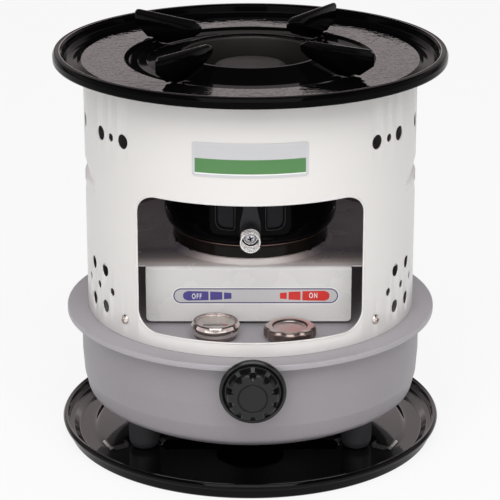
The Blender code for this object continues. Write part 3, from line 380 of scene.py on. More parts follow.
def tintGroup():
    # mottles one colour towards another in soft patches and specks
    group, start, end = nodeGroup(
        "mottled tint", {"Colour": (0.5, 0.5, 0.5, 1), "Second": (0.4, 0.4, 0.4, 1),
                         "Patches": 20.0, "Specks": 600.0, "Amount": 0.3},
        {"Colour": (0.5, 0.5, 0.5, 1)})
    spot = added(group, "TexCoord").outputs["Object"]
    patches = noise(group, spot, start["Patches"], 3.0)
    specks = noise(group, spot, start["Specks"], 1.0)
    both = mathNode(group, "MULTIPLY", mathNode(group, "ADD", patches, specks), 0.5)
    amount = mathNode(group, "MULTIPLY", both, start["Amount"])
    mix = mixedColour(group, amount, start["Colour"], start["Second"])
    group.links.new(mix, end.inputs["Colour"])
    return group


surfaceGrain = grainGroup()
mottledTint = tintGroup()


def paintedLightAlong(tree, colour, stops):
    # painted light and shade: multiplies a colour by a ramp that runs from the front to the back,
    # in millimetres of Y
    start, end = stops[0][0], stops[-1][0]
    parts = added(tree, "SeparateXYZ", Vector=added(tree, "TexCoord").outputs["Object"])
    reach = added(tree, "MapRange", Value=parts.outputs["Y"], From_Min=start * mm,
                  From_Max=end * mm)
    shades = colourRamp(tree, reach.outputs["Result"],
                        [((y - start) / (end - start), shade) for y, shade in stops])
    return mixedColour(tree, 1.0, colour, shades, "MULTIPLY")


def finish(name, colour, second, rough, metallic=0.0, patches=20.0, specks=600.0, amount=0.4,
           grain=900.0, depth=0.1, spread=0.1, bump=0.2, specular=0.5, along=None, **others):
    made = bpy.data.materials.new(name)
    made.use_nodes = True
    tree = made.node_tree
    tint = added(tree, "Group", mottledTint, Colour=(*colour, 1), Second=(*second, 1),
                 Patches=patches, Specks=specks, Amount=amount)
    skin = added(tree, "Group", surfaceGrain, Scale=grain, Depth=depth, Roughness=rough,
                 Spread=spread)
    raised = added(tree, "Bump", Strength=bump, Distance=mm, Height=skin.outputs["Height"])
    shown = tint.outputs["Colour"]
    values = {"Base_Color": paintedLightAlong(tree, shown, along) if along else shown,
              "Roughness": skin.outputs["Roughness"], "Normal": raised.outputs["Normal"],
              "Metallic": metallic, "Specular_IOR_Level": specular, **others}
    for title, given in values.items():
        feed(tree, tree.nodes["Principled BSDF"].inputs[title.replace("_", " ")], given)
    return made


def enamel(name, rough, specular, grain=160, depth=0.30, bump=0.05, spread=0.05):
    return finish(name, (0.0012, 0.0012, 0.0014), (0.003, 0.0028, 0.003), rough, grain=grain,
                  depth=depth, bump=bump, spread=spread, amount=0.5, specular=specular)


def metal(name, colour, second, rough, metallic=1.0, grain=300, depth=0.2, bump=0.05,
          spread=0.10, amount=0.5, **others):
    return finish(name, colour, second, rough, metallic, grain=grain, depth=depth, bump=bump,
                  spread=spread, amount=amount, **others)


def ink(name, colour, second, rough=0.36, amount=0.35, metallic=0.0):
    return finish(name, colour, second, rough, metallic, grain=900, depth=0.1, bump=0.05,
                  amount=amount)


blackEnamel = enamel("black enamel", 0.06, 0.38, bump=0.10)
casingEnamel = enamel("casing enamel", 0.07, 0.05)
darkEnamelAndShade = enamel("dark enamel", 0.08, 0.035)
wallEnamel = enamel("tray wall enamel", 0.08, 0.11)
trayEnamel = enamel("tray enamel", 0.06, 0.95, bump=0.10)
supportEnamel = enamel("support enamel", 0.10, 0.05, 500, 0.5, 0.15, 0.08)
plateEnamel = enamel("plate enamel", 0.07, 0.42, 170, 0.9, 0.42, 0.06)
burnerEnamel = finish("burner enamel", (0.006, 0.0045, 0.004), (0.012, 0.008, 0.006), 0.16,
                      grain=220, depth=0.4, bump=0.15, amount=0.7, specular=0.12)
bracketEnamel = finish("bracket enamel", (0.010, 0.010, 0.013), (0.014, 0.014, 0.018), 0.22,
                       grain=400, depth=0.30, bump=0.05, spread=0.05, amount=0.5, specular=0.3)

whitePaint = finish("white paint", (0.76, 0.738, 0.722), (0.71, 0.688, 0.672), 0.34,
                    grain=700, depth=0.12, bump=0.12, spread=0.12, amount=0.25)
drumInside = finish("drum lining", (0.50, 0.45, 0.455), (0.34, 0.30, 0.305), 0.36,
                    grain=500, depth=0.2, bump=0.15, spread=0.15, amount=0.7)
greyPaint = finish("grey tank paint", (0.325, 0.302, 0.325), (0.245, 0.228, 0.245), 0.42,
                   grain=820, depth=0.55, bump=0.35, specks=900, amount=0.7)
# painted light: the tank's upper half is the same grey paint made lighter, for the light that
# falls on its top
lidPaintedLight = finish("grey lid paint", (0.42, 0.398, 0.425), (0.33, 0.312, 0.335), 0.40,
                  grain=820, depth=0.55, bump=0.30, specks=900, amount=0.7)
# painted light: a ramp makes the deck lighter along its front strip, dark in a band behind it and
# lighter again at the back; its faint pink emission is a painted glow
palePaintAndPaintedLight = finish("deck paint", (0.88, 0.865, 0.85), (0.84, 0.82, 0.805), 0.27,
                   grain=520, depth=0.12, bump=0.12, spread=0.12, patches=9, amount=0.2,
                   along=[(-76, (0.82, 0.82, 0.82)), (-73.4, (0.82, 0.82, 0.82)),
                          (-72.4, (1.0, 0.97, 0.96)), (-66, (1.0, 0.93, 0.915)),
                          (-59, (0.68, 0.585, 0.57)), (-50, (0.30, 0.26, 0.26)),
                          (-31, (0.06, 0.05, 0.08)), (10, (0.55, 0.50, 0.52)),
                          (50, (1.0, 0.92, 0.94))],
                   Emission_Color=(1.0, 0.86, 0.90, 1.0), Emission_Strength=0.026)
footPaint = finish("foot rubber paint", (0.055, 0.055, 0.060), (0.03, 0.03, 0.033), 0.5,
                   depth=0.3, bump=0.25, amount=0.5)
dialPaint = finish("dial face", (0.56, 0.47, 0.42), (0.44, 0.36, 0.32), 0.30, metallic=0.25,
                   grain=700, depth=0.2, bump=0.1)
flagRed = finish("pointer red", (0.52, 0.02, 0.025), (0.35, 0.015, 0.02), 0.35, grain=700,
                 bump=0.05)

chromePlate = metal("chrome plate", (0.78, 0.72, 0.68), (0.68, 0.60, 0.56), 0.11, grain=90,
                    spread=0.08, amount=0.4)
capPlate = metal("cap plate", (0.74, 0.665, 0.63), (0.60, 0.50, 0.47), 0.30, grain=260)
# painted shade: darker copies of the plate, for shaded sides and for the dark wall of the cap's
# dish
capShade = metal("cap side plate", (0.34, 0.275, 0.25), (0.22, 0.17, 0.155), 0.36, grain=260,
                 amount=0.6)
dishShade = metal("cap dish wall", (0.05, 0.042, 0.04), (0.03, 0.025, 0.024), 0.42, 0.5,
                  grain=260)
washerPlate = metal("washer plate", (0.34, 0.35, 0.41), (0.26, 0.27, 0.32), 0.25, bump=0.03)
screwPlate = metal("screw plate", (0.78, 0.79, 0.83), (0.62, 0.64, 0.70), 0.20, bump=0.03)
brightWireAndHighlight = metal("bright wire", (0.90, 0.89, 0.87), (0.80, 0.79, 0.77), 0.20, grain=150,
                   depth=0.05, bump=0.01, spread=0.05, amount=0.3)
warmRimHighlight = metal("rim metal", (0.42, 0.27, 0.235), (0.30, 0.18, 0.155), 0.35, 0.9, grain=500,
                spread=0.2, amount=0.7)
beadHighlight = metal("bead edge", (0.52, 0.49, 0.49), (0.22, 0.20, 0.20), 0.16, 0.9, grain=170,
                 depth=0.9, bump=0.30, amount=0.8, patches=40)
darkSteel = metal("dark steel", (0.013, 0.011, 0.011), (0.026, 0.022, 0.021), 0.5, 0.2,
                  grain=400, bump=0.2, spread=0.25, amount=0.6)
sleeveSteel = metal("sleeve steel", (0.026, 0.021, 0.021), (0.017, 0.014, 0.014), 0.45, 0.3,
                    grain=420, bump=0.2, spread=0.2, amount=0.6)
zincSteel = metal("zinc steel", (0.50, 0.49, 0.47), (0.36, 0.35, 0.34), 0.38, 0.9, grain=420,
                  bump=0.15, spread=0.2)
brassMetal = metal("brass", (0.58, 0.41, 0.17), (0.38, 0.25, 0.11), 0.34, grain=420, bump=0.15,
                   spread=0.2, amount=0.6)

knobPlastic = finish("knob plastic", (0.0035, 0.0035, 0.004), (0.009, 0.009, 0.0095), 0.24,
                     grain=1300, depth=0.35, bump=0.12, amount=0.5, specular=0.4)
wickCloth = finish("wick cloth", (0.70, 0.66, 0.58), (0.40, 0.34, 0.28), 0.88, grain=1600,
                   depth=0.9, bump=0.6, spread=0.05, amount=0.8)
corkFloat = finish("cork", (0.42, 0.27, 0.15), (0.20, 0.12, 0.06), 0.80, grain=600, depth=0.8,
                   bump=0.5, specks=900, amount=0.9)
sealRubber = finish("seal rubber", (0.02, 0.02, 0.02), (0.035, 0.035, 0.035), 0.7, depth=0.3)
micaSheet = finish("smoked mica", (0.011, 0.011, 0.0155), (0.018, 0.0175, 0.023), 0.22,
                   grain=120, depth=0.3, bump=0.1, patches=60, amount=0.6, specular=0.12)
clearGlass = finish("gauge glass", (0.95, 0.94, 0.92), (0.90, 0.88, 0.86), 0.02, grain=60,
                    depth=0.05, bump=0.02, spread=0.0, amount=0.2, specular=0.8, Alpha=0.10)

labelSilver = ink("label silver", (0.60, 0.60, 0.615), (0.51, 0.51, 0.525), 0.32, 0.3, 0.35)
labelEdge = ink("label edge", (0.62, 0.62, 0.635), (0.52, 0.52, 0.535), 0.35, 0.3, 0.3)
labelGreen = ink("label green", (0.085, 0.23, 0.075), (0.06, 0.18, 0.055), 0.35, 0.4)
inkBlue = ink("blue ink", (0.085, 0.07, 0.29), (0.06, 0.05, 0.22))
inkRed = ink("red ink", (0.72, 0.035, 0.025), (0.55, 0.02, 0.02))
inkWhite = ink("white ink", (0.88, 0.88, 0.89), (0.80, 0.80, 0.81), amount=0.25)
inkPurple = ink("purple ink", (0.055, 0.036, 0.15), (0.04, 0.025, 0.11))
inkDark = ink("dark ink", (0.03, 0.03, 0.03), (0.05, 0.05, 0.05), 0.4, 0.3)
decalGrey = ink("decal ground", (0.60, 0.59, 0.60), (0.54, 0.53, 0.54), 0.34, 0.25)
print("finishes made:", len(bpy.data.materials))


# Drip tray

tray = {**inMm({"base": 160.0, "rim": 164.5, "height": 14.5, "floor": 150.0, "sheet": 0.8,
                "ledge": 5.0, "padInner": 44.0, "padOuter": 137.0, "padRise": 1.4,
                "padSlope": 3.0, "padHigh": 4.2, "padFront": -56.0, "padTurn": 101, "clear": 15.0,
                "footSkin": 105, "cornerIn": 108, "cornerOut": 139, "cornerFront": -47,
                "cornerHigh": 6, "edge": 140}),
        "padTilt": 0.075, "padSlant": 0.45, "steps": 360,
        "footAngles": [math.radians(a) for a in (90, 210, 330)]}

feet = inMm({"circle": 105.0, "radius": 13.6, "low": 1.1, "high": 32.7, "corner": 5.5,
             "wall": 0.8})


def padLift(radius, angle):
    # how far the floor is raised: one pad behind a line across, clear of the three feet
    x, y = radius * math.cos(angle), radius * math.sin(angle)
    front = tray["padFront"] - tray["padSlant"] * max(0.0, abs(x) - tray["padTurn"])
    inside = min(radius - tray["padInner"], tray["padOuter"] - radius, y - front)
    for a in tray["footAngles"]:
        away = math.hypot(x - feet["circle"] * math.cos(a), y - feet["circle"] * math.sin(a))
        inside = min(inside, away - tray["clear"])
    high = tray["padRise"] + (tray["padOuter"] - radius) * tray["padTilt"]
    return min(high, tray["padHigh"]) * easeIn(inside / tray["padSlope"])


def makeTray():
    t = tray
    base, rim, high, wall = t["base"], t["rim"], t["height"], t["base"] - t["sheet"]
    radii = inMm([2.0 * k for k in range(20, 70)])
    rise = rounded([(t["edge"], 0), *near(base, 0, (-1.0, 0, 1.2)),
                    *near(base, high, (0.2, -6.0, 0.4)),
                    *near(rim, high, (-0.6, -5.2, 1.0), (0, -2.6, 1.4), (-1.6, 0, 1.4)),
                    *near(base, high, (0.4, -0.6, 1.0)), *near(wall, high, (0, -4.0, 1.6)),
                    *near(wall, t["ledge"], (0, 0.6, 1.2), (-4.0, 0, 1.6)),
                    (t["floor"], t["sheet"], 3.0 * mm), (t["edge"], t["sheet"])], mm, 6)
    loop = [(0, 0), *[(radius, 0) for radius in radii], *rise,
            *[(radius, t["sheet"]) for radius in radii[::-1]], (0, t["sheet"])]

    def shape(radius, height, angle):
        return radius, height + padLift(radius, angle)
    piece = spun("drip_tray_pressing", loop, t["steps"], shape, 50)
    place(piece, "tray", "black_enamel", trayEnamel, "drip_tray")
    secondSkin(piece, wallEnamel, lambda centre, up, radius, outward:
               radius > base - 0.4 * mm and outward > 0.3)
    # the pad's slopes: dull round the feet, and a painted highlight at its two front corners,
    # where the slopes take the bright wire metal
    secondSkin(piece, darkEnamelAndShade, lambda centre, up, radius, outward:
               radius < t["footSkin"] and 0 < up < 0.97 and centre.y < 0)
    secondSkin(piece, brightWireAndHighlight, lambda centre, up, radius, outward:
               t["cornerIn"] < radius < t["cornerOut"] and 0.3 < up < 0.97
               and centre.y < t["cornerFront"] and centre.z < t["cornerHigh"])


makeTray()
print("tray done")


# Feet

def makeFeet():
    f = feet
    r, low, bottom, shoulder = f["radius"], f["low"], f["low"] + f["wall"], f["low"] + f["corner"]
    loop = rounded([(0, low), (r - f["corner"] * 0.6, low, 2.5 * mm),
                    *near(r, shoulder, (-0.5, 0, 5)), (r, f["high"]), (r - f["wall"], f["high"]),
                    *near(r - f["wall"], shoulder, (-0.4, 0, 3)),
                    (r - f["corner"], bottom, mm), (0, bottom)], 0.2 * mm, 5)
    for number, angle in enumerate(tray["footAngles"], 1):
        piece = spun(f"foot_cup_{number}", loop, 64,
                     at=(f["circle"] * math.cos(angle), f["circle"] * math.sin(angle), 0))
        place(piece, "stove", "dark_steel", footPaint, f"foot_{number}")


makeFeet()


# Tank

tank = {**inMm({"sheet": 0.8, "low": 33.0, "radius": 145.7, "bottom": 126.0, "flange": 116.4,
                "flangeRadius": 158.0, "flangeDepth": 4.6, "raised": 4.1, "raisedRadius": 134.5,
                "neck": 30.5, "throat": 36.5, "gland": (2.0, 96.2, 6.5)}),
        "steps": 256, "ports": inMm(((32.6, -104.0, 13.7), (-28.6, -103.0, 13.5)))}


def makeTank():
    t = tank
    joint = t["flange"] - 1.9 * mm
    r = t["radius"]
    side = [*near(t["flangeRadius"], joint, (-1.5, 0)), (r, joint, 1.6 * mm),
            *near(r, 0, (0, 76, 18), (-1.4, 57, 12), (-5.2, 41.5, 9)),
            (t["bottom"], t["low"], 9 * mm), (t["neck"], t["low"])]
    shell = spun("tank_lower_half", sheetLoop(side, t["sheet"], steps=10), t["steps"], crease=60)
    x, z, radius = t["gland"]
    hole = rod("gland_hole_cutter", radius, 0, 30 * mm, 32, towardsFront, (x, -130 * mm, z))
    place(cut(shell, [hole]), "stove", "grey_paint", greyPaint, "tank_shell")

    top = t["flange"] + t["raised"]
    cover = [(t["throat"], top), (t["raisedRadius"], top, 1.6 * mm),
             (t["raisedRadius"] + 2.5 * mm, t["flange"], 1.6 * mm),
             (t["flangeRadius"], t["flange"], 1.5 * mm),
             (t["flangeRadius"], t["flange"] - t["flangeDepth"])]
    lid = spun("tank_upper_half", sheetLoop(cover, t["sheet"], steps=6), t["steps"], crease=60)
    holes = [rod("port_cutter", radius, 0, 12 * mm, 48, at=(x, y, 114 * mm))
             for x, y, radius in t["ports"]]
    place(cut(lid, holes), "stove", "grey_paint", lidPaintedLight, "tank_top")


makeTank()
print("tank done")


# Knob

knob = {**inMm({"x": 2.0, "z": 96.2, "back": 159.2, "base": 27.2, "baseDepth": 6.0, "grip": 21.3,
                "gripDepth": 12.0, "flute": 3.3, "groove": 11.6, "bore": 3.3, "boreDepth": 12.0}),
        "lobes": 10, "steps": 320, "notchFrom": 0.52, "notchSpan": 0.40}


def makeKnob():
    k = knob
    face = k["baseDepth"]
    end = face + k["gripDepth"]
    loop = rounded([(0, k["boreDepth"]), (k["bore"], k["boreDepth"], 0.1 * mm),
                    (k["bore"], 0, 0.3 * mm), *near(k["base"], 0, (-0.6, 0, 0.8), (0, 2.0, 1.0)),
                    *near(k["base"], face, (0, -1.6, 1.2), (-2.2, 0, 1.0)),
                    *near(k["grip"], face, (1.3, -1.4, 0.8), (0.2, -1.4, 0.4), (0, 1.0, 0.6)),
                    *near(k["grip"], end, (-0.5, -2.0, 1.0), (-2.4, 0, 1.6)),
                    *near(k["groove"], end, (0.7, 0, 0.25), (0.25, -0.7, 0.15),
                          (-0.25, -0.7, 0.15), (-0.7, 0, 0.25)), (0, end)], 0.2 * mm, 5)

    def flute(radius, height, angle):
        gripped = k["groove"] + 2 * mm <= radius <= k["grip"] + 0.1 * mm
        if height < face - 0.5 * mm or not gripped:
            return radius, height
        wave = 0.5 + 0.5 * math.cos(k["lobes"] * angle)
        notch = easeIn((wave - k["notchFrom"]) / k["notchSpan"])
        reach = easeIn((radius - k["groove"] - 4 * mm) / (3.5 * mm))
        return radius - k["flute"] * notch * reach, height
    piece = spun("wick_knob", loop, k["steps"], flute, 45,
                 towardsFront @ aroundZ(math.pi / k["lobes"]), (k["x"], -k["back"], k["z"]))
    place(piece, "knob", "black_plastic", knobPlastic, "knob")


makeKnob()
print("knob done")


# Drum

drum = {**inMm({"radius": 140.0, "wall": 0.8, "low": 116.7, "high": 330.9, "windowHalf": 92.2,
                "windowLow": 128.4, "windowHigh": 246.0, "lowCorner": 17.0, "highCorner": 16.5,
                "hem": 0.9, "ventLevel": 285.3, "ventLarge": 6.1, "ventSmall": 3.4,
                "slitLevel": 151.4, "slitRise": 15.9, "slitLarge": 5.5, "slitSmall": 3.4,
                "gripHigh": 251.0, "gripLow": 235.0, "gripSlot": 5.2, "gripDepth": 4.2,
                "lipDrop": 13.0, "slotGap": 0.3, "slotLong": 26, "slotDeep": 9, "soft": 0.22}),
        "gripHalf": math.radians(24), "lipShare": 0.30, "gripRound": 0.6, "steps": 360,
        "ventAngles": [53.4 + 31.6 * group for group in range(9)], "ventStep": 6.6,
        "slitAngles": (-90 + 64.3, -90 - 64.3, 90 + 64.3, 90 - 64.3), "slitStep": 4.8,
        "slitSide": 9.5}


def windowOutline():
    # the window's outline in X and Z
    d = drum
    half, low, high = d["windowHalf"], d["windowLow"], d["windowHigh"]
    corners = [(half, low, d["lowCorner"], -90), (half, high, d["highCorner"], 0),
               (-half, high, d["highCorner"], 90), (-half, low, d["lowCorner"], 180)]
    outline = []
    for x, z, radius, start in corners:
        cx = x - math.copysign(radius, x)
        cz = z + radius if z == low else z - radius
        for k in range(13):
            a = math.radians(start + 90 * k / 12)
            outline.append((cx + radius * math.cos(a), cz + radius * math.sin(a)))
    return outline


def gripDent(angle, height):
    # depth of the pressing above a hand-hold and of the lip below it
    d = drum
    side = abs(math.remainder(angle, math.pi))
    if side >= d["gripHalf"]:
        return 0.0
    across = math.cos(math.pi / 2 * (side / d["gripHalf"])) ** d["gripRound"]
    if height > d["gripLow"]:
        down = max(0.0, min(1.0, (d["gripHigh"] - height) / (d["gripHigh"] - d["gripLow"])))
        return d["gripDepth"] * across * down
    edge = d["gripLow"] - d["gripSlot"]
    if height >= edge + 0.1 * mm:
        return 0.0
    down = easeIn((height - edge + d["lipDrop"]) / d["lipDrop"])
    return d["gripDepth"] * d["lipShare"] * across * down


def drill(radius, angle, level):
    r = drum["radius"]
    return rod("hole_cutter", radius, r - 12 * mm, r + 4 * mm, 28, aroundZ(angle) @ towardsRight,
               (0, 0, level))


def drumHoles():
    d = drum
    holes = []
    for vent in d["ventAngles"]:
        middle = frontAngle + math.radians(vent)
        for step, radius in ((-1, d["ventLarge"]), (0, d["ventSmall"]), (1, d["ventLarge"])):
            holes.append(drill(radius, middle + step * math.radians(d["ventStep"]),
                               d["ventLevel"]))
    for middle in d["slitAngles"]:
        for row in (-1, 1):
            for side in (-1, 1):
                holes.append(drill(d["slitLarge"], math.radians(middle + side * d["slitStep"]),
                                   d["slitLevel"] + row * d["slitRise"]))
        for side in (-1, 0, 1):
            holes.append(drill(d["slitSmall"], math.radians(middle + side * d["slitSide"]),
                               d["slitLevel"]))
    for angle in fixingAngles:
        holes.append(drill(fixings["hole"], angle, fixings["level"]))
    return holes


fixings = inMm({"level": 132.6, "head": 4.3, "dome": 2.2, "shank": 1.9, "length": 5.0,
                "hole": 2.3, "armLong": 2.6, "armWide": 0.55})
recessTurns = (0.3, math.pi / 2 + 0.3)
fixingAngles = [math.radians(a) for a in (-137.5, -42.5, 42.5, 137.5)]


def makeDrum():
    d = drum
    inner = d["radius"] - d["wall"]
    slotLow = d["gripLow"] - d["gripSlot"] + d["slotGap"]
    slotHigh = d["gripLow"] - d["slotGap"]
    # rings of points, close together round the hand-holds
    levels = [d["low"], 180 * mm, 205 * mm]
    levels += [216 * mm + k * 1.2 * mm for k in range(11)]
    levels += [d["gripLow"] - d["gripSlot"], slotLow, slotHigh, d["gripLow"]]
    levels += [d["gripLow"] + k * 1.6 * mm for k in range(1, 11)] + [262 * mm, d["high"]]
    loop = [(d["radius"], z) for z in levels] + [(inner, z) for z in levels[::-1]]

    def pressed(radius, height, angle):
        return radius - gripDent(angle, height), height
    shell = spun("drum_shell", loop, d["steps"], pressed)
    window = slab("window_cutter", windowOutline(), 30 * mm, 150 * mm, towardsFront)
    slots = [slab("slot_cutter", oblong(x - d["slotDeep"], -d["slotLong"], x + d["slotDeep"],
                                        d["slotLong"]), slotLow, slotHigh)
             for x in (-d["radius"], d["radius"])]
    shell = cut(shell, [window, joined(drumHoles() + slots, "all_holes")])
    shell = softEdges(shell, d["soft"], 55, 50)
    place(shell, "stove", "white_paint", whitePaint, "drum")
    # the inside faces of the drum take a darker grey-brown than the outside
    secondSkin(shell, drumInside, lambda centre, up, radius, outward: outward < -0.6)

    middle = d["radius"] - d["wall"] / 2
    line = windowOutline()
    dense = []
    for (ax, az), (bx, bz) in zip(line, line[1:] + line[:1]):
        count = max(1, round(math.hypot(bx - ax, bz - az) / (3 * mm)))
        dense += [(ax + (bx - ax) * k / count, az + (bz - az) * k / count) for k in range(count)]
    points = [(x, -math.sqrt(middle ** 2 - x ** 2), z) for x, z in dense]
    place(tube("window_hem", points, d["hem"]), "stove", "white_paint", whitePaint)


makeDrum()
print("drum done")


def domedScrew(name, sizes, turn, where):
    # a dome head with a cross recess, its underside at zero and its shank below
    head, dome, shank = sizes["head"], sizes["dome"], sizes["shank"]
    crown = [(head * math.cos(a), dome * math.sin(a)) for a in
             [math.radians(x) for x in (12, 26, 40, 54, 68, 80)]]
    loop = [(0, -sizes["length"]), (shank, -sizes["length"]), (shank, 0), (head, 0), *crown,
            (0, dome)]
    w, h = sizes["armLong"], sizes["armWide"]
    arms = [slab("recess_cutter", oblong(-w, -h, w, h), dome * 0.15, dome * 1.6, aroundZ(turned))
            for turned in recessTurns]
    piece = cut(spun(name, loop, 48), arms)
    piece.data.transform(turn.to_4x4())
    piece.data.transform(Matrix.Translation(where))
    return piece


for number, angle in enumerate(fixingAngles, 1):
    where = Vector((math.cos(angle), math.sin(angle), 0)) * (drum["radius"] + 0.3 * mm)
    where.z = fixings["level"]
    screw = domedScrew(f"drum_screw_head_{number}", fixings, aroundZ(angle) @ towardsRight, where)
    place(screw, "stove", "chrome", chromePlate, f"drum_screw_{number}")


# Label plate, bare of words

label = {**inMm({"low": 268.6, "high": 296.8, "thick": 0.35, "corner": 1.2, "border": 2.3,
                 "bandHigh": 283.6, "line": 0.9}),
         "half": math.radians(19.2), "steps": 48}


def curvedPlate(name, half, low, high, inner, thick, corner):
    # a plate bent round the drum, with round corners
    columns, rows = label["steps"], 2
    grid = []
    for k in range(columns + 1):
        x = -half + 2 * half * k / columns
        past = max(0.0, corner - (half - abs(x)))
        inset = corner - math.sqrt(max(0.0, corner ** 2 - past ** 2))
        grid.append((x, low + inset, high - inset))
    verts, faces = [], []
    for radius in (inner, inner + thick):
        for x, a, b in grid:
            angle = frontAngle + x / inner
            for j in range(rows + 1):
                z = a + (b - a) * j / rows
                verts.append((radius * math.cos(angle), radius * math.sin(angle), z))
    side = (columns + 1) * (rows + 1)
    for k in range(columns):
        for j in range(rows):
            a = k * (rows + 1) + j
            b = a + rows + 1
            faces.append([a, a + 1, b + 1, b])
            faces.append([side + a, side + b, side + b + 1, side + a + 1])
    for k in range(columns):
        for j in (0, rows):
            a, b = k * (rows + 1) + j, (k + 1) * (rows + 1) + j
            faces.append([a, b, side + b, side + a])
    for k in (0, columns):
        for j in range(rows):
            a = k * (rows + 1) + j
            faces.append([a, a + 1, side + a + 1, side + a])
    return newObject(name, verts, faces)


def makeLabel():
    c = label
    half = c["half"] * drum["radius"]
    inner = drum["radius"] + 0.15 * mm
    plate = curvedPlate("label_plate_border", half, c["low"], c["high"], inner, c["thick"],
                        c["corner"])
    place(plate, "stove", "label_metal", labelEdge, "label_plate")
    face = half - c["border"]
    low, high = c["low"] + c["border"], c["high"] - c["border"]
    skin = inner + c["thick"]
    for name, a, b, material in (("label_upper_field", c["bandHigh"], high, labelSilver),
                                 ("label_green_band", low + c["line"], c["bandHigh"], labelGreen),
                                 ("label_lower_line", low, low + c["line"], inkWhite)):
        field = curvedPlate(name, face, a, b, skin - 0.1 * mm, 0.16 * mm, 0.05 * mm)
        place(field, "stove", "label_metal", material)


makeLabel()
print("label done")


# Filler neck and cap

filler = {**inMm({"x": 32.6, "y": -104.0, "neck": 120.8, "level": 121.9, "radius": 21.8,
                  "height": 9.4, "hub": 16.1, "hubLow": 4.2, "dish": 14.2, "dishDepth": 2.6,
                  "scallop": 1.6}),
          "neckSection": inMm([(13.7, 0), (19.0, 0), (19.0, 0.8), (14.5, 0.8), (14.5, 3.5),
                               (13.7, 3.5)]),
          "lobes": 8}


def makeFiller():
    c = filler
    ring("filler_neck_ring", "stove", "chrome", chromePlate, "filler_neck",
         roundedLoop(c["neckSection"], 0.2 * mm, 3), 96, at=(c["x"], c["y"], c["neck"]))
    r, h, dish = c["radius"], c["height"], c["dish"]
    section = rounded([(0, c["hubLow"]), (c["hub"], c["hubLow"], 0.2 * mm),
                       (c["hub"], 0, 0.2 * mm), *near(r, 0, (-0.8, 0, 0.6), (0, 1.4, 1.2)),
                       *near(r, h, (-0.1, -2.4, 1.8), (-1.5, -0.5, 1.2)),
                       *near(dish, h, (2.0, 0, 2.0), (0.4, -0.5, 0.8)),
                       *near(dish, h - c["dishDepth"], (-1.0, 0, 1.4)),
                       *near(0, h - c["dishDepth"], (0, 0.6))], 0.2 * mm, 6)

    def scallop(radius, height, angle):
        if radius < dish + 3 * mm or (height > c["hubLow"] - mm and radius < c["hub"] + mm):
            return radius, height
        wave = 0.5 - 0.5 * math.cos(c["lobes"] * angle)
        reach = easeIn((radius - dish - 3 * mm) / (3 * mm))
        return radius - c["scallop"] * wave ** 2 * reach, height
    piece = ring("filler_cap_top", "cap", "chrome", capPlate, "filler_cap", section, 256,
                 at=(c["x"], c["y"], c["level"]), shape=scallop)
    # painted shade: the wall of the dish and the sides take darker copies of the top's plate
    top, axis = c["level"] + h, (c["x"], c["y"])
    secondSkin(piece, dishShade, lambda centre, up, radius, outward: outward < -0.5
               and radius < dish + mm and centre.z > top - c["dishDepth"] + 0.7 * mm, axis)
    secondSkin(piece, capShade, lambda centre, up, radius, outward:
               radius > dish + mm and centre.z < top - 0.55 * mm, axis)


makeFiller()


# Fuel gauge

gauge = {**inMm({"x": -28.6, "y": -103.0, "level": 120.8, "base": 16.5, "radius": 20.3,
                 "belly": 128.6, "draw": 1.6, "rim": 134.8, "lip": 16.9, "glassLevel": 132.7,
                 "glass": 1.0, "dome": 2.2, "dial": 130.8, "slotLength": 21.0, "slotFront": 4.2,
                 "slotBack": 1.4, "pivot": 107.0, "pointer": 15.0, "flag": 25.4,
                 "mark": (0.25, 1.6), "flagHalf": 0.6}),
         "marks": (-46, -23, 0, 23, 46), "sweep": 52, "fan": (63.5, 68.0, 72.5, 76.5),
         "tip": math.radians(72), "tipHalf": 0.07}


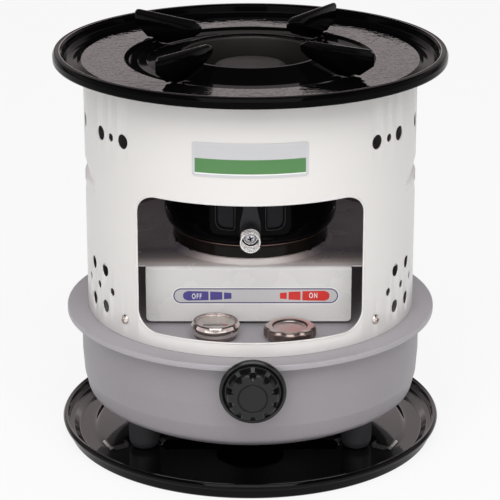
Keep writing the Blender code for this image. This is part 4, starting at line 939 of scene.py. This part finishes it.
def makeGauge():
    g = gauge
    at = (g["x"], g["y"], 0)
    low, rim, dial, radius = g["level"], g["rim"], g["dial"], g["radius"]
    outside = radius - g["draw"]
    wall, shelf = outside - 0.8 * mm, g["glassLevel"] - 0.3 * mm
    well = g["base"] - 1.6 * mm
    section = [(well, low), *near(g["base"], low, (0, 0, 0.3), (0.5, 0.8, 0.8)),
               *near(radius, low, (-1.3, 4.2, 3.0)),
               *near(radius, g["belly"], (0, 0, 3.0), (-0.3, 2.8, 2.0)),
               *near(outside, rim, (0, -0.7, 1.2), (-0.7, 0, 0.6)),
               *near(g["lip"], rim, (0.2, -0.1, 0.3), (0, -0.8, 0.2)),
               *near(wall, rim, (0, -0.8)), *near(wall, shelf, (0, 0), (-1.6, 0)),
               *near(wall, dial, (-1.6, -0.3)), *near(well, dial, (0, -0.3))]
    piece = ring("gauge_bezel_ring", "stove", "chrome", chromePlate, "gauge_bezel",
                 roundedLoop(section, 0.1 * mm, 5), 192, at=at)
    # painted shade: the lower bowl and the top of the rim take the darker copy of the plate
    secondSkin(piece, capShade, lambda centre, up, radius, outward:
               centre.z < g["belly"] - 2.2 * mm or centre.z > rim - 0.3 * mm)

    edge, rise = wall - 0.3 * mm, g["lip"] - 0.3 * mm
    arc = [(rise * math.sin(a), g["dome"] * math.cos(a)) for a in
           [math.radians(x) for x in (4, 14, 24, 34, 44, 54, 64, 74, 82)]]
    low, top = g["glassLevel"], g["glassLevel"] + g["glass"]
    section = [(0, low + g["dome"]), *[(x, low + z) for x, z in arc], (rise, low), (edge, low),
               (edge, top), (rise, top), *[(x, top + z) for x, z in arc[::-1]],
               (0, top + g["dome"])]
    ring("gauge_window", "stove", "glass", clearGlass, "gauge_glass", section, 128, at=at)

    face = rod("gauge_face", wall - 1.7 * mm, dial, dial + 0.8 * mm, 96, at=at)
    half, front, back = g["slotLength"] / 2, g["slotFront"], g["slotBack"]
    slot = roundedLoop(oblong(-half, -front, half, back), 1.6 * mm, 4)
    slot = [(p[0] + g["x"], p[1] + g["y"]) for p in slot]
    cutter = slab("dial_slot_cutter", slot, dial - mm, dial + 2 * mm)
    place(cut(face, [cutter]), "stove", "dial_white", dialPaint, "gauge_dial")
    wide, long = g["mark"]
    for number, sweep in enumerate(g["marks"], 1):
        mark = slab(f"gauge_mark_{number}", oblong(-wide, 0, wide, long), 0, 0.06 * mm,
                    at=(g["x"] + half * sweep / g["sweep"], g["y"] + back + 0.8 * mm,
                        dial + 0.78 * mm))
        place(mark, "stove", "dial_white", inkDark)

    # the pointer widens to a red fan that shows in the slot over its whole swing
    foot = g["pointer"] + 0.3 * mm
    outline = [(foot, g["tip"] - g["tipHalf"]),
               *[(g["flag"], math.radians(a)) for a in g["fan"]],
               (foot, g["tip"] + g["tipHalf"])]
    verts = [(g["x"] + reach * math.cos(angle), g["y"] + side * g["flagHalf"],
              g["pivot"] + reach * math.sin(angle))
             for side in (-1, 1) for reach, angle in outline]
    piece = newObject("gauge_pointer_flag", verts, prismFaces(len(outline)))
    place(piece, "float", "pointer_red", flagRed, "gauge_flag")


makeGauge()
print("gauge and cap done")


# Deck and its front panel

deck = inMm({"level": 171.2, "seat": 175.9, "seatRadius": 67.6, "seatFoot": 70.4, "radius": 138.5,
             "sheet": 0.8, "bore": 36.9, "reach": 74.2, "fold": 3.4, "half": 85.4, "middle": -1.4,
             "low": 123.2, "corner": 3.5})


def makeDeck():
    d = deck
    path = [(d["bore"], d["seat"]),
            *near(d["seatRadius"], d["seat"], (-3.0, 0), (-0.5, -0.4, 1.4)),
            (d["seatFoot"], d["level"], 2.2 * mm), (d["radius"], d["level"])]
    sheet = spun("deck_and_panel", sheetLoop(path, d["sheet"], steps=6), 256, crease=50)
    far = 150 * mm
    cutter = slab("deck_front_cutter", oblong(-far, -far, far, d["fold"] - d["reach"]),
                  165 * mm, 178 * mm)
    sheet = cut(sheet, [cutter])
    bend = [(-d["reach"] + 3 * d["fold"], d["level"]), (-d["reach"], d["level"], d["fold"]),
            (-d["reach"], d["low"])]
    sideways = Matrix(((0, 0, 1), (1, 0, 0), (0, 1, 0)))
    panel = slab("front_panel", sheetLoop(bend, -d["sheet"], steps=8)[::-1],
                 d["middle"] - d["half"], d["middle"] + d["half"], sideways)
    rims = []
    for side in (-1, 1):
        x, z, r = d["middle"] + side * d["half"], d["low"], d["corner"]
        arc = [(x - side * r + side * r * math.cos(a), z + r - r * math.sin(a))
               for a in [math.radians(k) for k in (15, 30, 45, 60, 75)]]
        outline = [(x + side * mm, z - mm), (x + side * mm, z + r), (x, z + r), *arc,
                   (x - side * r, z), (x - side * r, z - mm)]
        rims.append(slab("panel_corner_cutter", outline[::side], 70 * mm, 78 * mm, towardsFront))
    panel = cut(panel, rims)
    sheet = cut(sheet, [panel], operation="UNION", crease=50)
    place(sheet, "stove", "pale_paint", palePaintAndPaintedLight, "deck_plate")


makeDeck()


# Lighting scale on the front panel: OFF to the left, ON to the right

scale = {**inMm({"left": -64.1, "right": 73.1, "low": 139.1, "high": 152.3, "line": 0.95,
                 "halo": 1.0, "skin": 74.2, "raised": 0.04, "bold": 0.12}),
         "capitals": 0.70, "narrow": 0.62, "spacing": 1.30,
         "blocks": (("off", inkBlue, -56.0, -34.8, 4.25, 3.85),
                    ("off", inkBlue, -33.4, -23.3, 3.8, 3.3),
                    ("off", inkBlue, -21.9, -15.7, 3.0, 2.55),
                    ("on", inkRed, 24.7, 30.4, 2.55, 3.0), ("on", inkRed, 31.8, 41.8, 3.4, 3.9),
                    ("on", inkRed, 43.3, 65.9, 4.1, 4.45)),
         "words": (("word_off", "OFF", -44.6, 143.2, 4.5), ("word_on", "ON", 52.4, 143.8, 4.6))}


def decal(name, outline, layer, material):
    base = scale["skin"] - 0.02 * mm + layer * 0.03 * mm
    piece = slab(name, outline, base, base + 0.06 * mm, towardsFront)
    place(piece, "stove", "label_metal", material)


def bluntEnd(x, inwards, middle, half):
    # the cut-off end of an outermost block, from its upper corner down
    return [(x + along * inwards * mm, middle + up * half) for along, up in
            ((4, 1), (1.2, 0.72), (0, 0.3), (0, -0.3), (1.2, -0.72), (4, -1))]


def capsule(left, right, low, high):
    r = (high - low) / 2
    middle = (low + high) / 2
    ends = []
    for x, start in ((right - r, -90), (left + r, 90)):
        ends += [(x + r * math.cos(math.radians(start + k * 12)),
                  middle + r * math.sin(math.radians(start + k * 12))) for k in range(16)]
    return ends


def lettering(name, words, x, z, height):
    curve = bpy.data.curves.new(name, "FONT")
    curve.body = words
    curve.size = height / scale["capitals"]
    curve.extrude = scale["raised"]
    curve.offset = scale["bold"]
    curve.space_character = scale["spacing"]
    curve.align_x = "CENTER"
    piece = linked(name, curve)
    piece.rotation_euler = (math.radians(90), 0, 0)
    piece.scale = (scale["narrow"], 1, 1)
    piece.location = (x, -scale["skin"] - 0.12 * mm, z)
    place(piece, "stove", "label_metal", inkWhite)


def makeScale():
    s = scale
    for layer, (name, inset, colour) in enumerate((("halo", -s["halo"], inkWhite),
                                                   ("outline", 0.0, inkPurple),
                                                   ("ground", s["line"], decalGrey))):
        outline = capsule(s["left"] + inset, s["right"] - inset, s["low"] + inset,
                          s["high"] - inset)
        decal(f"scale_{name}", outline, layer, colour)
    middle = (s["low"] + s["high"]) / 2
    for number, (side, colour, *sizes) in enumerate(s["blocks"], 1):
        left, right, start, end = inMm(sizes)
        outline = [(left, middle - start), (right, middle - end), (right, middle + end),
                   (left, middle + start)]
        if number == 1:
            outline = outline[1:3] + bluntEnd(left, 1, middle, start)
        if number == len(s["blocks"]):
            outline = [outline[0], *bluntEnd(right, -1, middle, end)[::-1], outline[3]]
        decal(f"scale_block_{side}_{number}", outline, 3, colour)
    for name, word, *sizes in s["words"]:
        lettering(name, word, *inMm(sizes))


makeScale()
print("deck done")


# Burner base

burner = {**inMm({"low": 176.2, "radius": 66.4, "skirt": 10.4, "bore": 36.9, "lug": (2.2, 4.6)}),
          "lugAngles": (-18, -41, -139, -162, 18, 41, 139, 162)}


def makeBurner():
    b = burner
    low, high, r = b["low"], b["low"] + b["skirt"], b["radius"]
    section = roundedLoop([(b["bore"], low), *near(b["bore"], high, (0, -0.3, 0.2)),
                           *near(r, high, (-2.2, -0.3, 0.3), (-1.2, 0.15, 0.5), (0.1, -0.1, 0.7),
                                 (-0.3, -1.9, 0.5)),
                           *near(r, low, (0, 1.2, 0.6), (0, 0), (-0.8, 0)),
                           *near(r, high, (-0.9, -1.6)), *near(b["bore"], high, (0.8, -1.6)),
                           *near(b["bore"], low, (0.8, 0))], 0.2 * mm, 5)
    ring("burner_base_ring", "stove", "black_enamel", burnerEnamel, "burner_base", section, 256)
    # the lip at the top of the base is real; its warm metal colour paints the thin pinkish
    # highlight along it
    rim = roundedLoop(oblong(r - 0.5 * mm, high, r + 0.3 * mm, high + 0.5 * mm), 0.2 * mm, 4)
    ring("burner_rim_wire", "stove", "black_enamel", warmRimHighlight, None, rim, 256)
    wide, tall = b["lug"]
    outline = [(y, -x) for x, y in roundedLoop(oblong(-wide, 0, wide, tall), 1.0 * mm, 4)]
    for number, degrees in enumerate(b["lugAngles"], 1):
        lug = slab(f"burner_lug_{number}", outline, r - 0.6 * mm, r + 0.5 * mm,
                   aroundZ(math.radians(degrees)) @ towardsRight, (0, 0, low + 2.2 * mm), 0.3 * mm)
        place(lug, "stove", "black_enamel", burnerEnamel)


makeBurner()


# Chimney casing with its mica panes

casing = {**inMm({"radius": 73.5, "low": 187.4, "top": 304.0, "curve": 16.0, "inset": 8.9,
                  "flange": 5.0, "sheet": 0.8, "paneLow": 204.0, "paneHigh": 226.4,
                  "paneHalf": 6.6, "screwLevel": 197.8, "screwHole": 2.1}),
          "paneAngle": math.radians(16.4)}


def paneOutline(side, spread, steps=6):
    # a D on its back: straight towards the handle, round on its far side
    c = casing
    middle = side * c["radius"] * math.sin(c["paneAngle"])
    flat = middle - side * (c["paneHalf"] + spread)
    bent = middle + side * (c["paneHalf"] + spread)
    low, high = c["paneLow"] - spread, c["paneHigh"] + spread
    points = rounded([(flat, (low + high) / 2), (flat, low, 1.6 * mm + spread),
                      (bent, low, 9 * mm), (bent, high, 9 * mm), (flat, high, 1.6 * mm + spread),
                      (flat, (low + high) / 2)], mm, steps)[:-1]
    return points if side > 0 else points[::-1]


def makeCasing():
    c = casing
    r, low = c["radius"], c["low"]
    curve = [(r - c["inset"] * (1 - math.cos(a)), low + c["curve"] * (1 - math.sin(a)))
             for a in [math.radians(k) for k in range(0, 91, 9)]]
    path = [(r, c["top"]), *[(r, z * mm) for z in (290, 262, 234)], (r, c["paneLow"]), *curve,
            (r - c["inset"] - c["flange"], low)]
    shell = spun("chimney_shell", sheetLoop(path, c["sheet"], 0.0), 256, crease=50)
    cutters = [slab("pane_cutter", paneOutline(side, 0.0), 40 * mm, 90 * mm, towardsFront)
               for side in (-1, 1)]
    cutters.append(rod("screw_hole_cutter", c["screwHole"], 68 * mm, 80 * mm, 32, towardsFront,
                       (0, 0, c["screwLevel"])))
    shell = cut(shell, cutters, crease=50)
    place(shell, "chimney", "black_enamel", casingEnamel, "chimney_casing")
    secondSkin(shell, darkEnamelAndShade, lambda centre, up, radius, outward:
               centre.z < low + 0.7 * c["curve"])

    inner = r - c["sheet"] - 0.25 * mm
    for side, word in ((-1, "left"), (1, "right")):
        outline = paneOutline(side, 1.8 * mm)
        verts = [(x, -math.sqrt((inner - depth) ** 2 - x ** 2), z)
                 for depth in (0.0, 0.4 * mm) for x, z in outline]
        pane = newObject(f"mica_{word}", verts, prismFaces(len(outline)))
        place(pane, "chimney", "mica", micaSheet, f"mica_pane_{word}")
        raised = [(x, -math.sqrt((r + 0.05 * mm) ** 2 - x ** 2), z)
                  for x, z in paneOutline(side, 1.5 * mm, 10)]
        bead = tube(f"pane_bead_{word}", raised, 0.55 * mm)
        place(bead, "chimney", "black_enamel", blackEnamel)


makeCasing()
print("casing done")


# Handle of the chimney: bracket, coil, washer and screw

handle = {**inMm({"level": 197.8, "back": 73.8, "thick": 1.2, "coil": 7.9, "wire": 0.74,
                  "pitch": 3.6, "eye": 3.0, "hole": 2.1, "washer": 5.5, "washerEdge": 5.45}),
          "turns": 4.5, "spiral": 1.2, "start": math.radians(90), "perTurn": 40,
          "side": inMm([(8.7, 186.2), (8.7, 210.0), (8.0, 212.4), (6.1, 221.0, 8), (5.0, 230.0)])}
handleScrew = inMm({"head": 4.3, "dome": 2.1, "shank": 1.8, "length": 5.6, "armLong": 2.3,
                    "armWide": 0.6})


def makeHandle():
    h = handle
    mirrored = [(-x, *more) for x, *more in h["side"][::-1]]
    plate = slab("handle_plate", roundedLoop(h["side"] + mirrored, 1.0 * mm, 5), h["back"],
                 h["back"] + h["thick"], towardsFront, edge=0.25 * mm)
    hole = rod("plate_hole_cutter", h["hole"], h["back"] - mm, h["back"] + 3 * mm, 32,
               towardsFront, (0, 0, h["level"]))
    place(cut(plate, [hole]), "chimney", "black_enamel", bracketEnamel, "handle_bracket")

    reach = casing["radius"] + h["thick"] + 0.6 * mm + h["wire"]
    spiral = round(h["spiral"] * h["perTurn"])
    total = spiral + round(h["turns"] * h["perTurn"])
    points = []
    for k in range(total + 1):
        angle = h["start"] + 2 * math.pi * k / h["perTurn"]
        radius = h["eye"] + (h["coil"] - h["eye"]) * min(k / spiral, 1)
        along = reach + h["pitch"] * max(k - spiral, 0) / h["perTurn"]
        points.append((radius * math.cos(angle), -along, h["level"] + radius * math.sin(angle)))
    spring = tube("handle_spring", points, h["wire"], closed=False, steps=6)
    place(spring, "chimney", "chrome", brightWireAndHighlight, "handle_coil")

    washer = reach + h["wire"] + 0.3 * mm
    ring("handle_washer_ring", "chimney", "chrome", washerPlate, "handle_washer",
         roundedLoop(oblong(h["hole"], washer, h["washer"], washer + 0.8 * mm), 0.3 * mm, 3),
         64, turn=towardsFront, at=(0, 0, h["level"]))
    # painted highlight: a ring of bright wire metal along the washer's rim
    edge = [(h["washerEdge"] * math.cos(a), -washer - 0.5 * mm,
             h["level"] + h["washerEdge"] * math.sin(a))
            for a in [2 * math.pi * k / 48 for k in range(48)]]
    place(tube("handle_washer_edge", edge, 0.42 * mm, steps=6), "chimney", "chrome", brightWireAndHighlight)
    head = (0, -washer - 1.1 * mm, h["level"])
    screw = domedScrew("handle_screw_head", handleScrew, towardsFront, Vector(head))
    place(screw, "chimney", "chrome", screwPlate, "handle_screw")
    # painted shade: a dark cross sits in the screw head's recess
    long, wide = handleScrew["armLong"], handleScrew["armWide"]
    for number, turned in enumerate(recessTurns, 1):
        arm = slab(f"handle_screw_recess_shade_{number}", oblong(-long, -wide, long, wide), 0.25 * mm,
                   1.6 * mm, towardsFront @ aroundZ(turned), head)
        place(arm, "chimney", "dark_steel", darkEnamelAndShade)


makeHandle()
print("handle done")


# Top plate, flue sleeve and pan supports

plate = {**inMm({"sheet": 0.8, "sleeve": 57.5, "sleeveLow": 308.0, "sleeveFlange": 7.0,
                 "drop": 1.4, "wave": 0.28, "waveInner": 105, "waveOuter": 142, "waveFade": 6,
                 "beadLow": 331, "waves": (9, 13, 7, 31)}),
         "section": inMm([(58.5, 337.3), (61.0, 337.1, 1.5), (66.0, 335.4, 4), (83.4, 330.4, 3.5),
                          (87.0, 329.5, 1.2), (94.5, 329.1, 5), (102.0, 329.9, 3.0),
                          (105.6, 332.0, 1.4), (141.3, 332.0, 1.2), (144.6, 330.4, 3.0),
                          (149.0, 329.8, 5.0), (153.4, 330.6, 4.0), (156.4, 333.2, 2.4),
                          (157.2, 338.6, 1.0), (159.2, 340.3, 1.2), (163.6, 339.9, 2.0),
                          (165.2, 336.6, 2.2), (165.2, 332.6, 1.0), (164.7, 331.5)]),
         "dullBands": inMm([(0, 105.2), (142.5, 158.9), (160.3, 170)]),
         "beadBands": inMm([(105.0, 105.7), (141.7, 142.5), (159.2, 160.6)])}


def plateWave(radius, height, angle):
    # the slight waviness of the pressed sheet between its two beads
    p = plate
    x, y = radius * math.cos(angle), radius * math.sin(angle)
    share = (easeIn((radius - p["waveInner"]) / p["waveFade"])
             * easeIn((p["waveOuter"] - radius) / p["waveFade"]))
    a, b, c, d = p["waves"]
    wave = math.sin(x / a + 1.3 * math.sin(y / b)) + math.sin(y / c + x / d)
    return radius, height + p["wave"] * share * wave


def inBands(radius, bands):
    return any(low < radius < high for low, high in bands)


def makeTopPlate():
    p = plate
    opening, foot = p["section"][0], p["section"][3]
    piece = ring("top_plate_pressing", "top", "black_enamel", plateEnamel, "top_plate",
                 sheetLoop(p["section"], p["sheet"], steps=7), 384, crease=60,
                 shape=plateWave)
    secondSkin(piece, darkEnamelAndShade, lambda centre, up, radius, outward:
               inBands(radius, p["dullBands"]))
    # painted highlight: the tops of the three beads take a pale metal, for thin bright lines along
    # them
    secondSkin(piece, beadHighlight, lambda centre, up, radius, outward:
               centre.z > p["beadLow"] and up > 0.3 and inBands(radius, p["beadBands"]))
    flange = p["sleeve"] + p["sleeveFlange"]
    slope = (opening[1] - foot[1]) / (foot[0] - opening[0])
    outline = [(flange, opening[1] - slope * (flange - opening[0]) - p["drop"] - 1.0 * mm),
               (p["sleeve"], opening[1] - p["drop"], 2.2 * mm), (p["sleeve"], p["sleeveLow"])]
    ring("flue_sleeve_tube", "top", "dark_steel", sleeveSteel, "flue_sleeve",
         sheetLoop(outline, -p["sheet"], steps=7), 192)


makeTopPlate()

support = {**inMm({"sheet": 1.6, "top": 355.5, "inner": 51.5, "outer": 124.5, "nose": 16.0,
                   "end": 13.0, "foot": 329.8}),
           "turn": math.radians(8)}


def makeSupports():
    s = support
    high, inner, outer = s["top"], s["inner"], s["outer"]
    outline = roundedLoop([*near(0, s["foot"], (89, 0, 0.3), (101, 0, 0.3)),
                           *near(0, 0, (105.2, 332.8, 1.5), (111, 332.8, 2.0)),
                           (outer, high - s["end"], 2.0 * mm),
                           *near(outer, high, (0, -2.5, 2.0), (-2.2, -0.3, 2.5), (-5, 0, 2.0)),
                           *near(inner, high, (7, -1.8, 6), (0.3, -5.6, 3.5), (0.4, -10.6, 3.0)),
                           (60.1 * mm, high - s["nose"], 3.0 * mm)], 1.0 * mm, 6)
    for number in range(1, 5):
        angle = math.pi / 4 + s["turn"] + math.pi / 2 * (number - 1)
        fin = slab(f"pan_fin_{number}", outline, -s["sheet"] / 2, s["sheet"] / 2,
                   aroundZ(angle) @ towardsFront, edge=0.35 * mm, crease=50)
        place(fin, "top", "black_enamel", supportEnamel, f"pan_support_{number}")
        secondSkin(fin, trayEnamel, lambda centre, up, radius, outward: up > 0.35)


makeSupports()
print("top done")


# Flame tubes with their punched holes, the spreader and the cross pin

flame = {**inMm({"low": 187.4, "outer": 45.0, "outerTop": 318.0, "inner": 30.0, "innerTop": 323.8,
                 "wall": 0.6, "spreader": 29.0, "level": 325.9, "dish": 4.0}),
         "outerRows": (30, 12, 1.7 * mm), "innerRows": (22, 13, 1.6 * mm)}


def punched(name, radius, high, pattern, node):
    # a tube with staggered rows of round holes
    low, wall = flame["low"], flame["wall"]
    columns, rows, hole = pattern
    loop = [(radius, low), (radius, high), (radius - wall, high), (radius - wall, low)]
    shell = spun(name, loop, columns * 4)
    holes = []
    for row in range(rows):
        z = low + (high - low) * (row + 0.7) / (rows + 0.4)
        for column in range(columns):
            angle = 2 * math.pi * (column + 0.5 * (row % 2)) / columns
            holes.append(rod("punch", hole, radius - 4 * mm, radius + 4 * mm, 14,
                             aroundZ(angle) @ towardsRight, (0, 0, z)))
    shell = cut(shell, [joined(holes, "all_punches")])
    place(shell, "chimney", "dark_steel", darkSteel, node)


def makeFlameTubes():
    f = flame
    punched("outer_flame_shell", f["outer"], f["outerTop"], f["outerRows"], "outer_flame_tube")
    punched("inner_flame_shell", f["inner"], f["innerTop"], f["innerRows"], "inner_flame_tube")
    low = f["innerTop"] + 0.3 * mm
    disc = rounded([(0, low), *near(f["spreader"], low, (0, 0, 0.3), (0, 0.8, 0.3)),
                    (f["spreader"] - f["dish"], f["level"], 1.5 * mm), (0, f["level"])], mm, 4)
    ring("flame_spreader_disc", "chimney", "dark_steel", darkSteel, "flame_spreader", disc, 128)


makeFlameTubes()

for material, nodeNames in (
        (darkSteel, ("air_tube", "throat_tube", "knob_shaft", "cross_pin")),
        (brassMetal, ("wick_carrier", "rack", "pinion", "float_arm", "shaft_gland")),
        (wickCloth, ("wick",)), (corkFloat, ("float",)), (sealRubber, ("cap_gasket",)),
        (zincSteel, [f"drum_bracket_{number}" for number in range(1, 5)])):
    for nodeName in nodeNames:
        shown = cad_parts[nodeName]
        shown.data.materials.clear()
        shown.data.materials.append(material)
print("inner pieces done")


# Floor, backdrop colour, lamps and camera

stage = {"floor": (0.90, 0.90, 0.90), "fill": 0.46, "glow": 0.86, "reach": 6.0,
         "sky": [(0.0, (1.0, 0.99, 0.98)), (0.05, (0.60, 0.55, 0.55)), (0.11, (0.15, 0.13, 0.13)),
                 (0.17, (0.45, 0.39, 0.40)), (0.24, (0.95, 0.85, 0.86)),
                 (0.31, (0.70, 0.62, 0.63)), (0.44, (0.62, 0.55, 0.56)),
                 (0.54, (0.06, 0.055, 0.055)), (1.0, (0.02, 0.02, 0.022))],
         "aim": (0, 0, 0.2),
         "lamps": {"key": ((-1.4, -2.4, 0.9), 2.0, 1.0, 8.7),
                   "fill": ((1.4, -2.4, 0.9), 2.0, 1.0, 7.2),
                   "overhead": ((0.0, -1.6, 2.0), 2.2, 1.6, 36)},
         "lens": 162.2, "sensor": 36.0, "shift": -0.0006, "eye": (0, -1.8335, 0.7966),
         "tilt": 70.86}


def makeFloor():
    reach = stage["reach"]
    mesh = bpy.data.meshes.new("floor")
    mesh.from_pydata([(x, y, 0) for x, y in oblong(-reach, -reach, reach, reach)], [],
                     [(0, 1, 2, 3)])
    floor = linked("floor", mesh)
    floor.location.z = -0.05 * mm
    paper = bpy.data.materials.new("pale floor")
    paper.use_nodes = True
    tree = paper.node_tree
    shader = tree.nodes["Principled BSDF"]
    shader.inputs["Base Color"].default_value = (*stage["floor"], 1)
    shader.inputs["Roughness"].default_value = 0.9
    shader.inputs["Specular IOR Level"].default_value = 0.1
    # the camera and mirrors see it paler than it lights the stove, and its shadows stay
    pale = added(tree, "Emission", Color=(1, 1, 1, 1), Strength=1.0)
    ray = added(tree, "LightPath").outputs
    seen = mathNode(tree, "MAXIMUM", ray["Is Camera Ray"], ray["Is Glossy Ray"])
    seen = mathNode(tree, "MAXIMUM", seen, ray["Is Transmission Ray"])
    share = mathNode(tree, "MULTIPLY", seen, stage["glow"])
    mix = mixedShader(tree, share, shader.outputs["BSDF"], pale.outputs["Emission"])
    tree.links.new(mix, tree.nodes["Material Output"].inputs["Surface"])
    floor.data.materials.append(paper)


def makeWorld():
    world = bpy.context.scene.world or bpy.data.worlds.new("studio")
    bpy.context.scene.world = world
    world.use_nodes = True
    tree = world.node_tree
    tree.nodes.clear()
    # what gloss shows: the pale backdrop round the horizon, a dark studio above it
    direction = added(tree, "TexCoord").outputs["Generated"]
    height = added(tree, "SeparateXYZ", Vector=direction).outputs["Z"]
    sky = colourRamp(tree, height, stage["sky"], "EASE")
    shown, lit, mirrored = [
        added(tree, "Background", Color=colour, Strength=strength).outputs["Background"]
        for colour, strength in (((1, 1, 1, 1), 1.0), ((1, 1, 1, 1), stage["fill"]), (sky, 1.0))]
    ray = added(tree, "LightPath").outputs
    seen = mathNode(tree, "MAXIMUM", ray["Is Camera Ray"], ray["Is Transmission Ray"])
    light = mixedShader(tree, ray["Is Glossy Ray"], lit, mirrored)
    added(tree, "OutputWorld", Surface=mixedShader(tree, seen, light, shown))


def lamp(name, where, width, height, power):
    data = bpy.data.lights.new(name, "AREA")
    data.shape = "RECTANGLE"
    data.size, data.size_y = width, height
    data.energy = power
    made = linked(name, data)
    made.location = where
    towards = Vector(stage["aim"]) - Vector(where)
    made.rotation_euler = towards.to_track_quat("-Z", "Y").to_euler()


makeFloor()
makeWorld()
for name, settings in stage["lamps"].items():
    lamp(name, *settings)

view = bpy.data.cameras.new("camera")
view.lens, view.sensor_width, view.shift_x = stage["lens"], stage["sensor"], stage["shift"]
camera = linked("camera", view)
camera.location = stage["eye"]
camera.rotation_euler = (math.radians(stage["tilt"]), 0, 0)
bpy.context.scene.camera = camera
bpy.context.scene.view_settings.view_transform = "Standard"

print("all pieces done")
